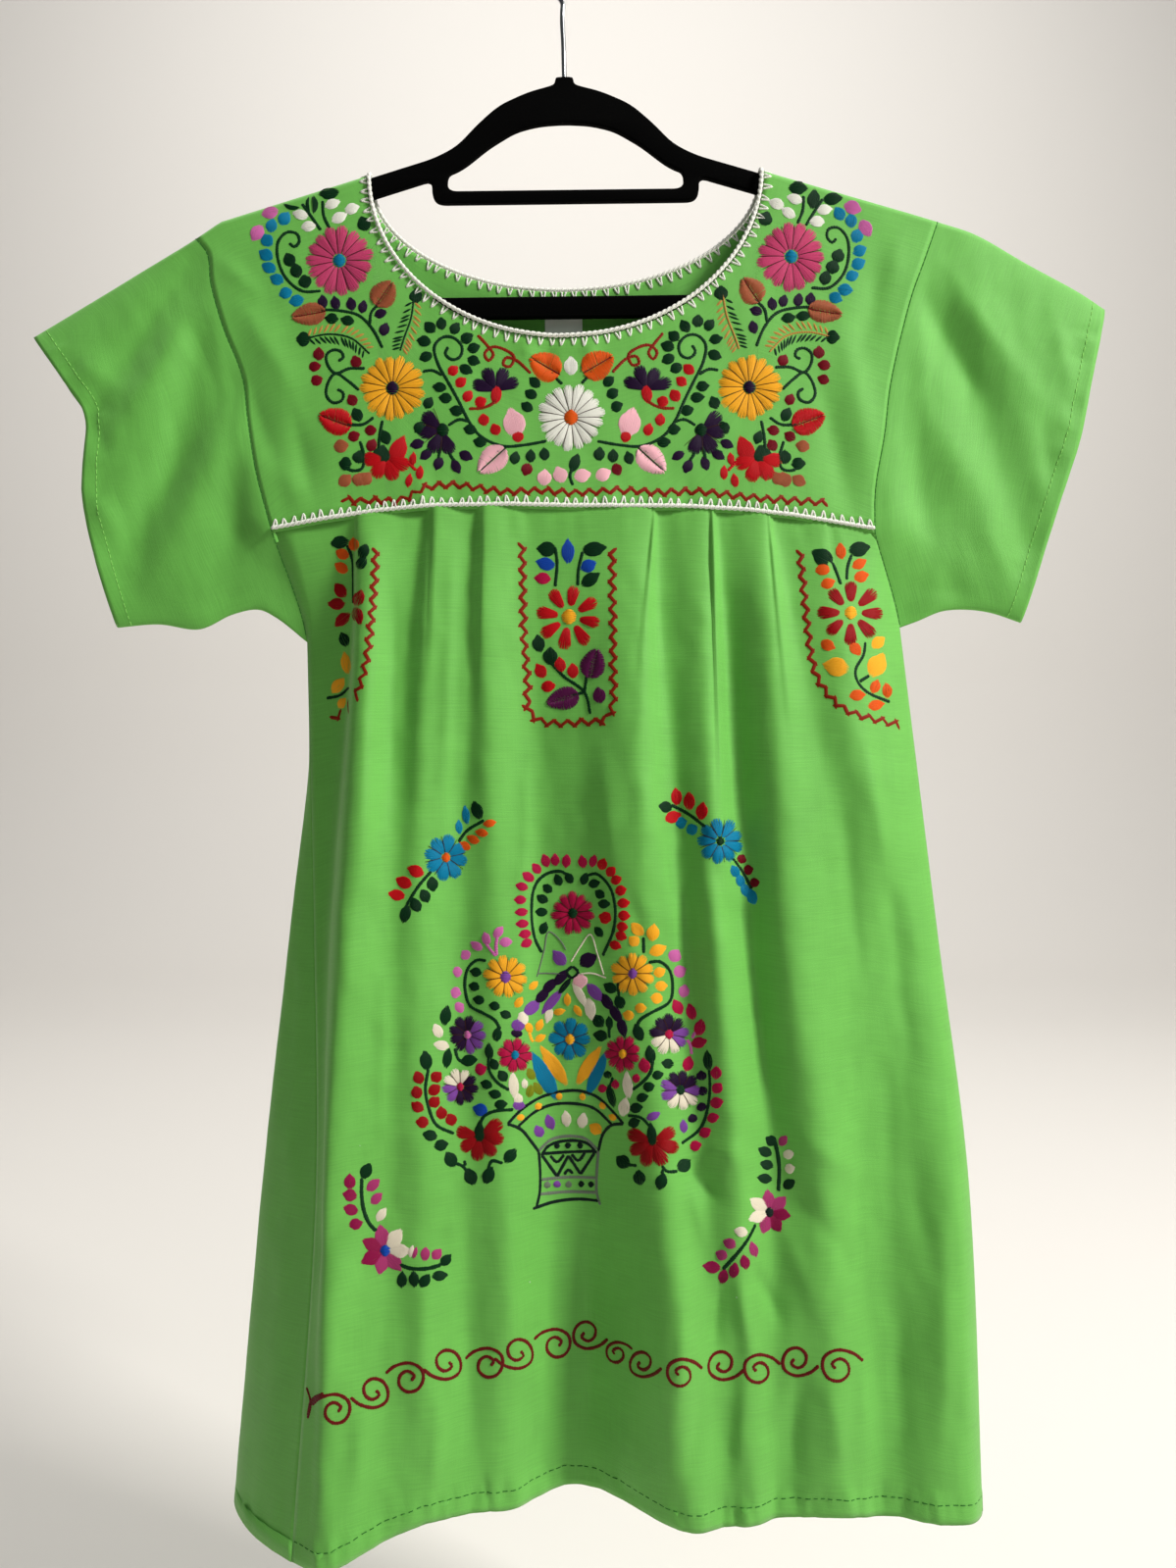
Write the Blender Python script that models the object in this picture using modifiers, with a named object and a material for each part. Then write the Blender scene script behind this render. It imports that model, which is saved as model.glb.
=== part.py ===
"""A green cotton dress with an embroidered yoke and skirt, hanging on a flocked clothes hanger.

Units are metres, +Z is up and -Y faces the viewer. The origin is the inside of the hook's top,
where a rail carries the whole. The tables are in millimetres. "out" is how far the cloth stands
in front of the hanger's middle plane, and it is negative behind that plane.
"""

import math
from typing import NamedTuple

import bmesh
import bpy
from mathutils import Vector

MM = 0.001

# Cloth
WALL = 1.2
SEAM_GAP = 0.3
YOKE_SEAM_GAP = 0.6
CORD_RADIUS = 1.5
CORD_GAP = 0.35
NECK_CORD_IN = 1.7
NECK_CORD_OUT = 1.2

# Hanger, in its own upright frame
HANGER_ROLL = math.radians(0.7)
HANGER_THICK = 5.0
HANGER_EDGE = 0.8
ARM_SLOPE = math.tan(math.radians(16.8))
ARM_START_X = 121.0
ARM_START_Z = -143.1
ARM_DEEP = 12.5
ARM_END_X = 206.0
ARM_TIP_X = 210.0
TIE_HALF = 81.5
TIE_TOP = -151.0
TIE_BOTTOM = -158.5
STRUT_WIDE = 9.5
BAR_TOP = -216.0
BAR_BOTTOM = -229.0
BLOCK_TOP = -82.0

# Hook
WIRE_RADIUS = 1.5
HOOK_RADIUS = 18.0

# Yoke
RIDGE_ROUND = 4.4
NECK_MIDDLE_X = 1.7
NECK_HALF = 121.0
NECK_RIDGE_Z = -141.2
FRONT_DROP = 104.5
BACK_DROP = 68.5
LEAN_FRONT = (0.043, 0.070)
LEAN_BACK = (0.033, 0.055)
LEAN_HALF = 190.0
YOKE_ROWS = 10
YOKE_ROW_POWER = 2.6
SHELF_ROW = 5
SHELF_DOWN = 30.0
SHOULDER_COLUMNS = (0, 0.12, 0.3, 0.52, 0.76, 1)
NECK_COLUMNS = 16
SEAM_LEFT_X = -103.0
SEAM_RIGHT_X = 115.0

# Skirt
WAIST_Z = -603.0
HIP_Z = -755.0
SKIRT_ROWS = (0, 0.5, 1, 1.33, 1.67, 2, 2.33, 2.67, 3, 3.25, 3.5, 3.75, 3.9, 4)
COLUMNS_PER_FOLD = 3

# Sleeves
SLEEVE_STEPS = (0, 0.06, 0.16, 0.28, 0.42, 0.56, 0.7, 0.84, 0.94, 1)
SLEEVE_FULL = 9.0
CUFF_BACK_LONGER = 4.0


class Fold(NamedTuple):
    """One line down a skirt panel, a ridge or a valley, at the seam, arm, waist, hip and hem."""

    name: str
    x: tuple
    out: tuple
    hem_z: float


FRONT_FOLDS = (
    Fold("side_left", (-173.5, -156, -150, -143, -152), (13, 0, 8, 34, 55), -953),
    Fold("valley_0", (-127, -128, -140, -138, -142), (15, 11, 14, 41, 61), -953),
    Fold("ridge_1", (-121, -119, -127, -133, -131), (19, 27, 42, 52, 66), -952),
    Fold("valley_1", (-84, -91, -99, -100, -95), (16, 20, 35, 41, 52), -941),
    Fold("ridge_2", (-77, -79, -84, -80, -74), (20, 27, 36, 42, 46), -936),
    Fold("valley_2", (-53, -57, -59, -56, -49), (17, 20, 27, 34, 38), -936),
    Fold("ridge_3", (-47, -45, -38, -33, -30), (20.5, 28, 31, 36, 34), -937),
    Fold("valley_3", (-22, -21, -14, -7, 1), (18, 21, 24, 21, 15), -935),
    Fold("centre", (6, 6, 10, 19, 23), (19, 22, 26, 24, 17), -936),
    Fold("ridge_4", (53, 47, 48, 59, 75), (20.5, 28, 38, 47, 47), -942),
    Fold("valley_4", (58, 60, 72, 80, 96), (17, 20, 29, 38, 40), -943),
    Fold("ridge_5", (87, 87, 90, 102, 112), (20, 30, 43, 44, 41), -942),
    Fold("valley_5", (94, 98, 111, 123, 129), (16, 20, 30, 31, 32), -942),
    Fold("ridge_6", (121, 122, 132, 153, 161), (19, 30, 41, 42, 39), -939),
    Fold("valley_6", (128, 139, 169, 177, 191), (15, 21, 28, 33, 33), -943),
    Fold("ridge_7", (158, 166, 193, 205, 215), (15.5, 22, 25, 31, 38), -943),
    Fold("ridge_8", (176, 188, 212, 228, 235), (14, 14, 19, 26, 34), -944),
    Fold("side_right", (187.4, 206, 227, 244.5, 250), (13, 0, 7, 12, 20), -946),
)

BACK_FOLDS = (
    Fold("side_left", (-173.5, -156, -150, -143, -152), (-11, 0, 8, 34, 55), -953),
    Fold("turn_a", (-169, -154.5, -161, -166, -183), (-11.5, -4, 1, 17, 30), -951),
    Fold("turn_b", (-162, -150, -168, -184, -200), (-12, -10, -7, -4, -2), -948),
    Fold("ridge_1", (-150, -142, -148, -166, -178), (-13.5, -17, -22, -24, -30), -946),
    Fold("valley_1", (-126, -124, -124, -134, -144), (-12.5, -14, -15, -15, -13), -945),
    Fold("ridge_2", (-96, -97, -97, -104, -110), (-16.5, -23, -29, -32, -38), -944),
    Fold("valley_2", (-90, -82, -73, -76, -78), (-13.5, -16, -18, -18, -20), -943),
    Fold("ridge_3", (-52, -50, -44, -40, -40), (-17, -23, -31, -36, -42), -944),
    Fold("valley_3", (-46, -30, -16, -8, -6), (-14, -17, -19, -20, -22), -943),
    Fold("centre", (10, 12, 16, 22, 30), (-16.5, -21, -25, -27, -31), -943),
    Fold("valley_4", (60, 52, 52, 58, 66), (-14, -17, -18, -18, -18), -943),
    Fold("ridge_4", (66, 72, 80, 90, 102), (-17, -24, -31, -36, -40), -944),
    Fold("valley_5", (98, 102, 114, 126, 138), (-13.5, -16, -17, -20, -22), -943),
    Fold("ridge_5", (104, 122, 144, 160, 174), (-16, -23, -28, -32, -36), -944),
    Fold("valley_6", (140, 150, 172, 190, 204), (-12.5, -14, -15, -16, -14), -944),
    Fold("ridge_6", (162, 180, 204, 224, 232), (-12.5, -17, -19, -21, -25), -945),
    Fold("turn_right", (179, 202, 224, 243, 248), (-11.5, -8, -4, -3, -6), -946),
    Fold("side_right", (187.4, 206, 227, 244.5, 250), (-11, 0, 7, 12, 20), -946),
)

# The yoke seam and the level of the arms, as height at places across the dress
SEAM_LINE = ((-174, -363), (-142, -357.5), (-110, -353), (-75, -350), (-31, -349.5),
             (6, -350.5), (74, -350.5), (110, -352.5), (139, -355.5), (188, -363))
ARM_LINE = ((-156, -427), (207, -418))


class Sleeve(NamedTuple):
    """The edges of one sleeve in the front view, as (x, z): the armhole's part on the yoke and
    the cuff run down from the ridge, the top and the underside run out from the armhole."""

    armhole: tuple
    cuff: tuple
    top: tuple
    under: tuple
    valleys: tuple


class Valley(NamedTuple):
    """A soft valley down a sleeve, from one (way out, way down) to another."""

    start: tuple
    end: tuple
    deep: float
    wide: float


SLEEVES = {
    "left": Sleeve(
        armhole=((-223.5, -181), (-215, -192), (-213, -209), (-205, -237), (-193, -268),
                 (-190, -292), (-184, -325), (-173.5, -363)),
        cuff=((-323, -241), (-302, -270), (-290, -289), (-290, -340), (-283, -378), (-272, -418)),
        top=((-223.5, -181), (-273, -211), (-323, -241)),
        under=((-156, -427), (-175, -412), (-186, -407), (-202, -410), (-222, -419),
               (-247, -416), (-272, -418)),
        valleys=(Valley((0.0, 0.06), (0.85, 0.85), 4.0, 0.10),
                 Valley((0.0, 0.42), (0.45, 1.0), 3.0, 0.09)),
    ),
    "right": Sleeve(
        armhole=((228.3, -170.5), (220, -194), (211, -219), (198, -272), (194, -302),
                 (188, -336), (187.4, -363)),
        cuff=((331, -224), (320.5, -270), (313, -306), (301.5, -342), (291, -378), (280, -415)),
        top=((228.3, -170.5), (251, -178), (283, -196), (316, -214), (331, -224)),
        under=((206, -418), (217, -414), (232, -408), (247, -407), (262, -409), (280, -415)),
        valleys=(Valley((0.0, 0.10), (0.9, 0.75), 4.0, 0.10),
                 Valley((0.0, 0.36), (0.5, 1.0), 3.0, 0.09)),
    ),
}


def rolled(x, z):
    """A point of the upright hanger, turned about the hook's seat as it hangs."""
    turn_cos = math.cos(HANGER_ROLL)
    turn_sin = math.sin(HANGER_ROLL)
    return x * turn_cos - z * turn_sin, x * turn_sin + z * turn_cos


def between(table, at):
    """The height at a place across, on straight lines through the table's points."""
    if at <= table[0][0]:
        return table[0][1]
    for (x0, z0), (x1, z1) in zip(table, table[1:]):
        if at <= x1:
            return z0 + (z1 - z0) * (at - x0) / (x1 - x0)
    return table[-1][1]


def smooth_between(keys, values, at):
    """The value at a key, on a cubic that runs smoothly through all the values."""
    last = len(keys) - 1
    i = 0
    while i < last - 1 and at > keys[i + 1]:
        i += 1
    wide = keys[i + 1] - keys[i]
    step = (values[i + 1] - values[i]) / wide

    def slope(k):
        if k == 0:
            return (values[1] - values[0]) / (keys[1] - keys[0])
        if k == last:
            return (values[last] - values[last - 1]) / (keys[last] - keys[last - 1])
        return (values[k + 1] - values[k - 1]) / (keys[k + 1] - keys[k - 1])

    m0 = slope(i)
    m1 = slope(i + 1)
    t = (at - keys[i]) / wide
    return (values[i] + t * wide * m0 + t * t * wide * (3 * step - 2 * m0 - m1)
            + t * t * t * wide * (m0 + m1 - 2 * step))


def span_point(p0, p1, p2, p3, t):
    """A point between p1 and p2 on the centripetal curve through all four."""
    t0 = 0.0
    t1 = t0 + max((p1 - p0).length, 1e-6) ** 0.5
    t2 = t1 + max((p2 - p1).length, 1e-6) ** 0.5
    t3 = t2 + max((p3 - p2).length, 1e-6) ** 0.5
    at = t1 + t * (t2 - t1)
    a1 = p0.lerp(p1, (at - t0) / (t1 - t0))
    a2 = p1.lerp(p2, (at - t1) / (t2 - t1))
    a3 = p2.lerp(p3, (at - t2) / (t3 - t2))
    b1 = a1.lerp(a2, (at - t0) / (t2 - t0))
    b2 = a2.lerp(a3, (at - t1) / (t3 - t1))
    return b1.lerp(b2, (at - t1) / (t2 - t1))


def through(knots, before, after, per_span):
    """Points along a smooth curve through the knots, with a point beyond each end to lead it."""
    line = [before, *knots, after]
    points = []
    for i in range(1, len(line) - 2):
        for k in range(per_span):
            points.append(span_point(*line[i - 1:i + 3], k / per_span))
    points.append(knots[-1])
    return points


def along(points, share):
    """The point at a share of the length of a smooth curve through the points."""
    knots = [Vector(p) for p in points]
    before = knots[0] * 2 - knots[1]
    after = knots[-1] * 2 - knots[-2]
    fine = through(knots, before, after, 8)
    lengths = [0.0]
    for a, b in zip(fine, fine[1:]):
        lengths.append(lengths[-1] + (b - a).length)
    want = share * lengths[-1]
    for i in range(1, len(fine)):
        if want <= lengths[i] or i == len(fine) - 1:
            piece = lengths[i] - lengths[i - 1]
            return fine[i - 1].lerp(fine[i], (want - lengths[i - 1]) / piece)
    return fine[-1]


def arm_ridge_z(x):
    """The height of the fold over the hanger's arms, level across the neck."""
    off = x - NECK_MIDDLE_X
    run = max(abs(off) - ARM_START_X, 0.0)
    return NECK_RIDGE_Z - run * ARM_SLOPE + off * math.sin(HANGER_ROLL)


def ridge_z(x):
    """The height of the cloth's fold over the shoulders, dropping past the arms' ends."""
    for side in ("left", "right"):
        tip_x, tip_z = SLEEVES[side].armhole[0]
        end_x = math.copysign(ARM_TIP_X, tip_x) + NECK_MIDDLE_X
        if abs(x) > abs(end_x) and x * tip_x > 0:
            end_z = arm_ridge_z(end_x)
            return end_z + (tip_z - end_z) * (x - end_x) / (tip_x - end_x)
    return arm_ridge_z(x)


def yoke_out(x, z, face):
    """How far the yoke stands off the middle plane: rounded over the arm, then leaning out."""
    edge, middle = LEAN_FRONT if face > 0 else LEAN_BACK
    lean = middle + (edge - middle) * min(1.0, (x / LEAN_HALF) ** 2)
    down = ridge_z(x) - z
    if down < 0.001:
        return 0.0
    bend = min(down, RIDGE_ROUND)
    rounded = math.sqrt(max(RIDGE_ROUND ** 2 - (RIDGE_ROUND - bend) ** 2, 0.0))
    return face * (rounded + lean * (down - bend))


def seam_point(x):
    return Vector((x, between(SEAM_LINE, x) + YOKE_SEAM_GAP / 2))


def neck_point(angle, face):
    """A point of the neckline, turned by the angle from its left end."""
    drop = FRONT_DROP if face > 0 else BACK_DROP
    x = NECK_MIDDLE_X - NECK_HALF * math.cos(angle)
    return Vector((x, arm_ridge_z(x) - drop * math.sin(angle)))


def neck_angle(down, face):
    """The angle at which the neckline is this far below the ridge."""
    return math.asin(down / (FRONT_DROP if face > 0 else BACK_DROP))


def yoke_shares():
    """How far down the armhole each row of the yoke starts, close together over the ridge."""
    return [(k / YOKE_ROWS) ** YOKE_ROW_POWER for k in range(YOKE_ROWS + 1)]


def shoulder_block(side, face):
    """Rows of one shoulder, from the ridge to the seam, each from the armhole inwards. The inner
    edge follows the neckline for the first rows and then runs straight to the seam."""
    armhole = SLEEVES[side].armhole
    tip = Vector(armhole[0])
    foot = seam_point(armhole[-1][0])
    inner_foot = seam_point(SEAM_LEFT_X if side == "left" else SEAM_RIGHT_X)
    shares = yoke_shares()
    deep = shares[SHELF_ROW]
    grid = []
    for share in shares:
        outer = along(armhole, share)
        angle = neck_angle(SHELF_DOWN * min(share / deep, 1.0), face)
        inner = neck_point(angle if side == "left" else math.pi - angle, face)
        if share > deep:
            inner = inner.lerp(inner_foot, (share - deep) / (1 - deep))
        row = []
        for across in SHOULDER_COLUMNS:
            flat = outer.lerp(inner, across)
            neck_x = NECK_MIDDLE_X + math.copysign(NECK_HALF, tip.x)
            top_x = tip.x + (neck_x - tip.x) * across
            straight_top = tip.y + (ridge_z(neck_x) - tip.y) * across
            seam_x = foot.x + (inner_foot.x - foot.x) * across
            straight_seam = foot.y + (inner_foot.y - foot.y) * across
            flat.y += (ridge_z(top_x) - straight_top) * (1 - share)
            flat.y += (seam_point(seam_x).y - straight_seam) * share
            row.append(flat)
        grid.append(row)
    return grid


def neck_block(face):
    """Rows below the neckline, from it to the seam, each from left to right."""
    shares = yoke_shares()
    deep = shares[SHELF_ROW]
    first = neck_angle(SHELF_DOWN, face)
    grid = []
    for share in shares[SHELF_ROW:]:
        row = []
        for i in range(NECK_COLUMNS + 1):
            across = i / NECK_COLUMNS
            top = neck_point(first + (math.pi - 2 * first) * across, face)
            foot = seam_point(SEAM_LEFT_X + (SEAM_RIGHT_X - SEAM_LEFT_X) * across)
            row.append(top.lerp(foot, (share - deep) / (1 - deep)))
        grid.append(row)
    return grid


def stood_out(grid, face):
    """A flat grid of (x, z) made solid points by the yoke's stand-off."""
    return [[Vector((p.x, -yoke_out(p.x, p.y, face), p.y)) for p in row] for row in grid]


def yoke_grids(face):
    """The three blocks of the front (face 1) or back (face -1) of the yoke."""
    return {
        "left": stood_out(shoulder_block("left", face), face),
        "neck": stood_out(neck_block(face), face),
        "right": stood_out(shoulder_block("right", face), face),
    }


def fold_levels(fold):
    """The heights of the five levels on one fold line."""
    return (between(SEAM_LINE, fold.x[0]), between(ARM_LINE, fold.x[1]), WAIST_Z, HIP_Z,
            fold.hem_z)


def fold_point(fold, s):
    """Where a fold line is at level s, as (x, out). Below the arm, the two panels' side lines
    are one seam, so the armhole's part above it doesn't bend them."""
    levels = fold_levels(fold)
    i = min(int(s), 3)
    z = levels[i] + (levels[i + 1] - levels[i]) * (s - i)
    top = 1 if s >= 1 and fold.name.startswith("side") else 0
    keys = [-level for level in levels[top:]]
    return Vector((smooth_between(keys, fold.x[top:], -z),
                   smooth_between(keys, fold.out[top:], -z)))


def skirt_height(s, x_top, x_arm, hem_z):
    """The height of a skirt row at level s in a column."""
    levels = (between(SEAM_LINE, x_top) - YOKE_SEAM_GAP / 2, between(ARM_LINE, x_arm), WAIST_Z,
              HIP_Z, hem_z)
    i = min(int(s), 3)
    return levels[i] + (levels[i + 1] - levels[i]) * (s - i)


def skirt_row(folds, other, s, per_span):
    """The (x, out) of one row of a skirt panel. The other panel's folds lead it round the side."""
    knots = [fold_point(fold, s) for fold in folds]
    share = min(s, 1.0)
    before = (knots[0] * 2 - knots[1]).lerp(fold_point(other[1], s), share)
    after = (knots[-1] * 2 - knots[-2]).lerp(fold_point(other[-2], s), share)
    return through(knots, before, after, per_span)


def skirt_grid(folds, other):
    """Rows of a skirt panel, from the yoke seam to the hem."""
    hems = through([Vector((fold.hem_z, 0)) for fold in folds],
                   Vector((other[1].hem_z, 0)), Vector((other[-2].hem_z, 0)), COLUMNS_PER_FOLD)
    tops = skirt_row(folds, other, 0, COLUMNS_PER_FOLD)
    arms = skirt_row(folds, other, 1, COLUMNS_PER_FOLD)
    grid = []
    for s in SKIRT_ROWS:
        row = []
        for i, flat in enumerate(skirt_row(folds, other, s, COLUMNS_PER_FOLD)):
            z = skirt_height(s, tops[i].x, arms[i].x, hems[i].x)
            row.append(Vector((flat.x, -flat.y, z)))
        grid.append(row)
    return grid


def drawn_back(edge, inside, beyond, share):
    """An edge point drawn back along its own cloth, so that the walls clear each other at a
    seam: by its share of the seam's gap, and more where the seam is bent."""
    own = (inside - edge).normalized()
    bend = own.angle(edge - beyond, 0.0)
    return edge + own * (SEAM_GAP * share + WALL * 0.55 * math.tan(min(bend, 2.3) / 2))


def part_sides(front, back):
    """Opens the side seams between the skirt's panels."""
    for ahead, behind in zip(front, back):
        for edge, inside in ((0, 1), (-1, -2)):
            ahead_end = drawn_back(ahead[edge], ahead[inside], behind[inside], 0.5)
            behind_end = drawn_back(behind[edge], behind[inside], ahead[inside], 0.5)
            ahead[edge] = ahead_end
            behind[edge] = behind_end


def armhole_loop(side, yoke, skirt, inside):
    """The body's edge that one layer of a sleeve is sewn to, from the ridge to the underarm, or
    the line of points just inside it."""
    across = 1 if inside else 0
    column = across if side == "left" else -1 - across
    edge = [row[across] for row in yoke[side]]
    upper = skirt[1][column]
    lower = skirt[2][column]
    edge += [upper, upper.lerp(lower, 0.6), upper.lerp(lower, 0.88), upper.lerp(lower, 0.97), lower]
    return edge


def sleeve_grid(side, yokes, skirts):
    """Rows of a sleeve, out from the armhole: each is a loop down the front and up the back."""
    sleeve = SLEEVES[side]
    outward = -1 if side == "left" else 1
    fronts = armhole_loop(side, yokes[1], skirts[1], False)
    backs = armhole_loop(side, yokes[-1], skirts[-1], False)
    lengths = [0.0]
    for a, b in zip(fronts, fronts[1:]):
        lengths.append(lengths[-1] + (b - a).length)
    downs = [length / lengths[-1] for length in lengths]
    grid = []
    for step in SLEEVE_STEPS:
        loops = {}
        for face, body in ((1, fronts), (-1, backs)):
            loop = []
            top = along(sleeve.top, step)
            under = along(sleeve.under, step)
            corner = Vector(sleeve.top[0]), Vector(sleeve.top[-1])
            lower = Vector(sleeve.under[0]), Vector(sleeve.under[-1])
            for down, held in zip(downs, body):
                cuff = along(sleeve.cuff, down)
                if face < 0:
                    longer = CUFF_BACK_LONGER * math.sin(math.pi * min(1.0, 1.5 * down))
                    cuff.x += outward * longer
                hole = Vector((held.x, held.z))
                flat = (hole.lerp(cuff, step) + top.lerp(under, down)
                        - corner[0].lerp(corner[1], step).lerp(lower[0].lerp(lower[1], step), down))
                out = sleeve_out(sleeve, step, down, face, -held.y)
                loop.append(Vector((flat.x, -out, flat.y)))
            loops[face] = loop
        row = loops[1] + loops[-1][-2:0:-1]
        grid.append(row)
    inner = (armhole_loop(side, yokes[1], skirts[1], True)
             + armhole_loop(side, yokes[-1], skirts[-1], True)[-2:0:-1])
    grid[0] = [drawn_back(edge, next_out, beyond, 1.3)
               for edge, next_out, beyond in zip(grid[0], grid[1], inner)]
    return grid


def sleeve_out(sleeve, step, down, face, held_out):
    """How far a sleeve layer stands off the middle plane: the body's at the armhole, and a
    lens further out, with the soft valleys pressed in."""
    lens = face * SLEEVE_FULL * math.sin(math.pi * min(max(down, 0.0), 1.0)) ** 0.4
    free = min(1.0, step / 0.35)
    free = free * free * (3 - 2 * free)
    out = held_out + (lens - held_out) * free
    for valley in sleeve.valleys:
        start = Vector(valley.start)
        run = Vector(valley.end) - start
        at = min(max((Vector((step, down)) - start).dot(run) / run.dot(run), 0.0), 1.0)
        away = (Vector((step, down)) - start - run * at).length
        press = valley.deep * math.exp(-(away / valley.wide) ** 2) * min(1.0, step / 0.2)
        out -= face * press * math.sin(math.pi * down) ** 0.5
    return out


def material(name, colour, roughness, metallic=0.0):
    made = bpy.data.materials.new(name)
    made.use_nodes = True
    shader = made.node_tree.nodes["Principled BSDF"]
    shader.inputs["Base Color"].default_value = (*colour, 1.0)
    shader.inputs["Roughness"].default_value = roughness
    shader.inputs["Metallic"].default_value = metallic
    made.diffuse_color = (*colour, 1.0)
    return made


def add_object(name, data, parts, finish):
    made = bpy.data.objects.new(name, data)
    data.materials.append(finish)
    parts.objects.link(made)
    return made


def cloth_object(name, sheets, looped, parts, finish):
    """A cloth wall from one or more grids of points, joined where their edges coincide."""
    mesh = bpy.data.meshes.new(name)
    build = bmesh.new()
    for grid in sheets:
        rows = [[build.verts.new(p * MM) for p in row] for row in grid]
        for upper, lower in zip(rows, rows[1:]):
            for i in range(len(upper) - (0 if looped else 1)):
                j = (i + 1) % len(upper)
                build.faces.new((upper[i], lower[i], lower[j], upper[j]))
    bmesh.ops.remove_doubles(build, verts=build.verts, dist=1e-6)
    bmesh.ops.recalc_face_normals(build, faces=build.faces)
    build.to_mesh(mesh)
    build.free()
    mesh.shade_smooth()
    made = add_object(name, mesh, parts, finish)
    wall = made.modifiers.new("wall", "SOLIDIFY")
    wall.thickness = WALL * MM
    wall.offset = 0.0
    return made


def cord_object(name, points, radius, closed, sides, parts, finish):
    """A round cord along the points."""
    line = bpy.data.curves.new(name, "CURVE")
    line.dimensions = "3D"
    line.bevel_depth = radius * MM
    line.bevel_resolution = sides
    line.use_fill_caps = True
    spline = line.splines.new("POLY")
    spline.points.add(len(points) - 1)
    for target, point in zip(spline.points, points):
        target.co = (*(point * MM), 1.0)
    spline.use_cyclic_u = closed
    spline.use_smooth = True
    return add_object(name, line, parts, finish)


def neck_edge(yoke):
    """The neckline's points on one face of the yoke, left to right."""
    left = [row[-1] for row in yoke["left"][:SHELF_ROW]]
    right = [row[-1] for row in yoke["right"][:SHELF_ROW]]
    return left + yoke["neck"][0] + right[::-1]


def neck_cord_points(yokes):
    """The middle of the neck edging: just off the cloth's edge, and a little out from it."""
    ring = []
    for face in (1, -1):
        edge = neck_edge(yokes[face])
        side = []
        for i, point in enumerate(edge):
            ahead = edge[min(i + 1, len(edge) - 1)]
            behind = edge[max(i - 1, 0)]
            run = Vector((ahead.x - behind.x, ahead.z - behind.z))
            inward = Vector((-run.y, run.x)).normalized()
            if i in (0, len(edge) - 1):
                inward = Vector((1, 0) if i == 0 else (-1, 0))
            tilt = max(RIDGE_ROUND - (ridge_z(point.x) - point.z), 0.0) / RIDGE_ROUND
            off = face * NECK_CORD_OUT * math.sqrt(max(1 - tilt * tilt, 0.0))
            side.append(point + Vector((inward.x * NECK_CORD_IN, -off,
                                        inward.y * NECK_CORD_IN + NECK_CORD_OUT * tilt)))
        ring += side[:-1] if face > 0 else side[:0:-1]
    return ring


def seam_cord_points(yoke, face):
    """The middle of the edging that lies on the yoke along its bottom edge."""
    lows = yoke["left"][-1] + yoke["neck"][-1][1:-1] + yoke["right"][-1][::-1]
    highs = yoke["left"][-2] + yoke["neck"][-2][1:-1] + yoke["right"][-2][::-1]
    up = CORD_RADIUS + 1.0
    off = WALL / 2 + CORD_GAP + CORD_RADIUS
    return [low + (high - low).normalized() * up + Vector((0, -face * off, 0))
            for low, high in zip(lows, highs)]


def hanger_outline():
    """Half of each loop of the upright hanger at +X, as (x, z) from the middle outwards."""
    def arm_z(x):
        return ARM_START_Z - (x - ARM_START_X) * ARM_SLOPE

    outer = [(7.5, BLOCK_TOP), (8.5, -87.5), (22, -91.5), (40, -100), (52, -111), (66, -124.5),
             (80, arm_z(80)), (ARM_START_X, ARM_START_Z), (ARM_END_X, arm_z(ARM_END_X)),
             (212, arm_z(ARM_END_X) - 4.8), (217, arm_z(ARM_END_X) - 10),
             (219, arm_z(ARM_END_X) - 17), (215, -206), (209, -221),
             (203, -227), (195, BAR_BOTTOM)]
    strut_in = TIE_HALF - STRUT_WIDE
    arch = [(0, -110), (16, -111), (30, -114.5), (46, -124), (60, -135), (66, -138.5),
            (strut_in, arm_z(strut_in) - ARM_DEEP), (strut_in, TIE_TOP)]
    gap = [(TIE_HALF - 4, TIE_BOTTOM), (TIE_HALF, TIE_BOTTOM + 4), (TIE_HALF, arm_z(TIE_HALF) - ARM_DEEP),
           (150, arm_z(150) - ARM_DEEP), (203, arm_z(203) - ARM_DEEP), (208, arm_z(208) - ARM_DEEP - 2),
           (208, -194), (202, -210), (194, BAR_TOP)]
    return outer, arch, gap


def add_hanger(parts, finish):
    outer, arch, gap = hanger_outline()
    line = bpy.data.curves.new("hanger", "CURVE")
    line.dimensions = "2D"
    line.fill_mode = "BOTH"
    line.extrude = HANGER_THICK / 2 * MM
    for half in (outer, arch, gap):
        mirrored = [(-x, z) for x, z in reversed(half) if x > 0]
        loop = [rolled(x, z) for x, z in half + mirrored]
        spline = line.splines.new("POLY")
        spline.points.add(len(loop) - 1)
        for target, (x, z) in zip(spline.points, loop):
            target.co = (x * MM, z * MM, 0, 1)
        spline.use_cyclic_u = True
    made = add_object("hanger", line, parts, finish)
    made.rotation_euler = (math.pi / 2, 0, 0)
    weld = made.modifiers.new("weld", "WELD")
    weld.merge_threshold = 1e-5
    edge = made.modifiers.new("edge", "BEVEL")
    edge.width = HANGER_EDGE * MM
    edge.segments = 1
    return made


def hook_points():
    """The middle of the hook's wire, from the neck block up and over to its free end."""
    stem = [(0, BLOCK_TOP + SEAM_GAP), (-0.3, -60), (-0.8, -47), (-0.6, -41), (-0.4, -36.5),
            (-2.5, -32.8), (-7.4, -30.1), (-12.8, -27.5)]
    middle_z = WIRE_RADIUS - HOOK_RADIUS
    arc = []
    for k in range(14):
        angle = math.radians(205 - k * 235 / 13)
        arc.append((HOOK_RADIUS * math.cos(angle), middle_z + HOOK_RADIUS * math.sin(angle)))
    flat = [rolled(x, z) for x, z in stem] + arc
    return [Vector((x, 0, z)) for x, z in flat]


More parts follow.
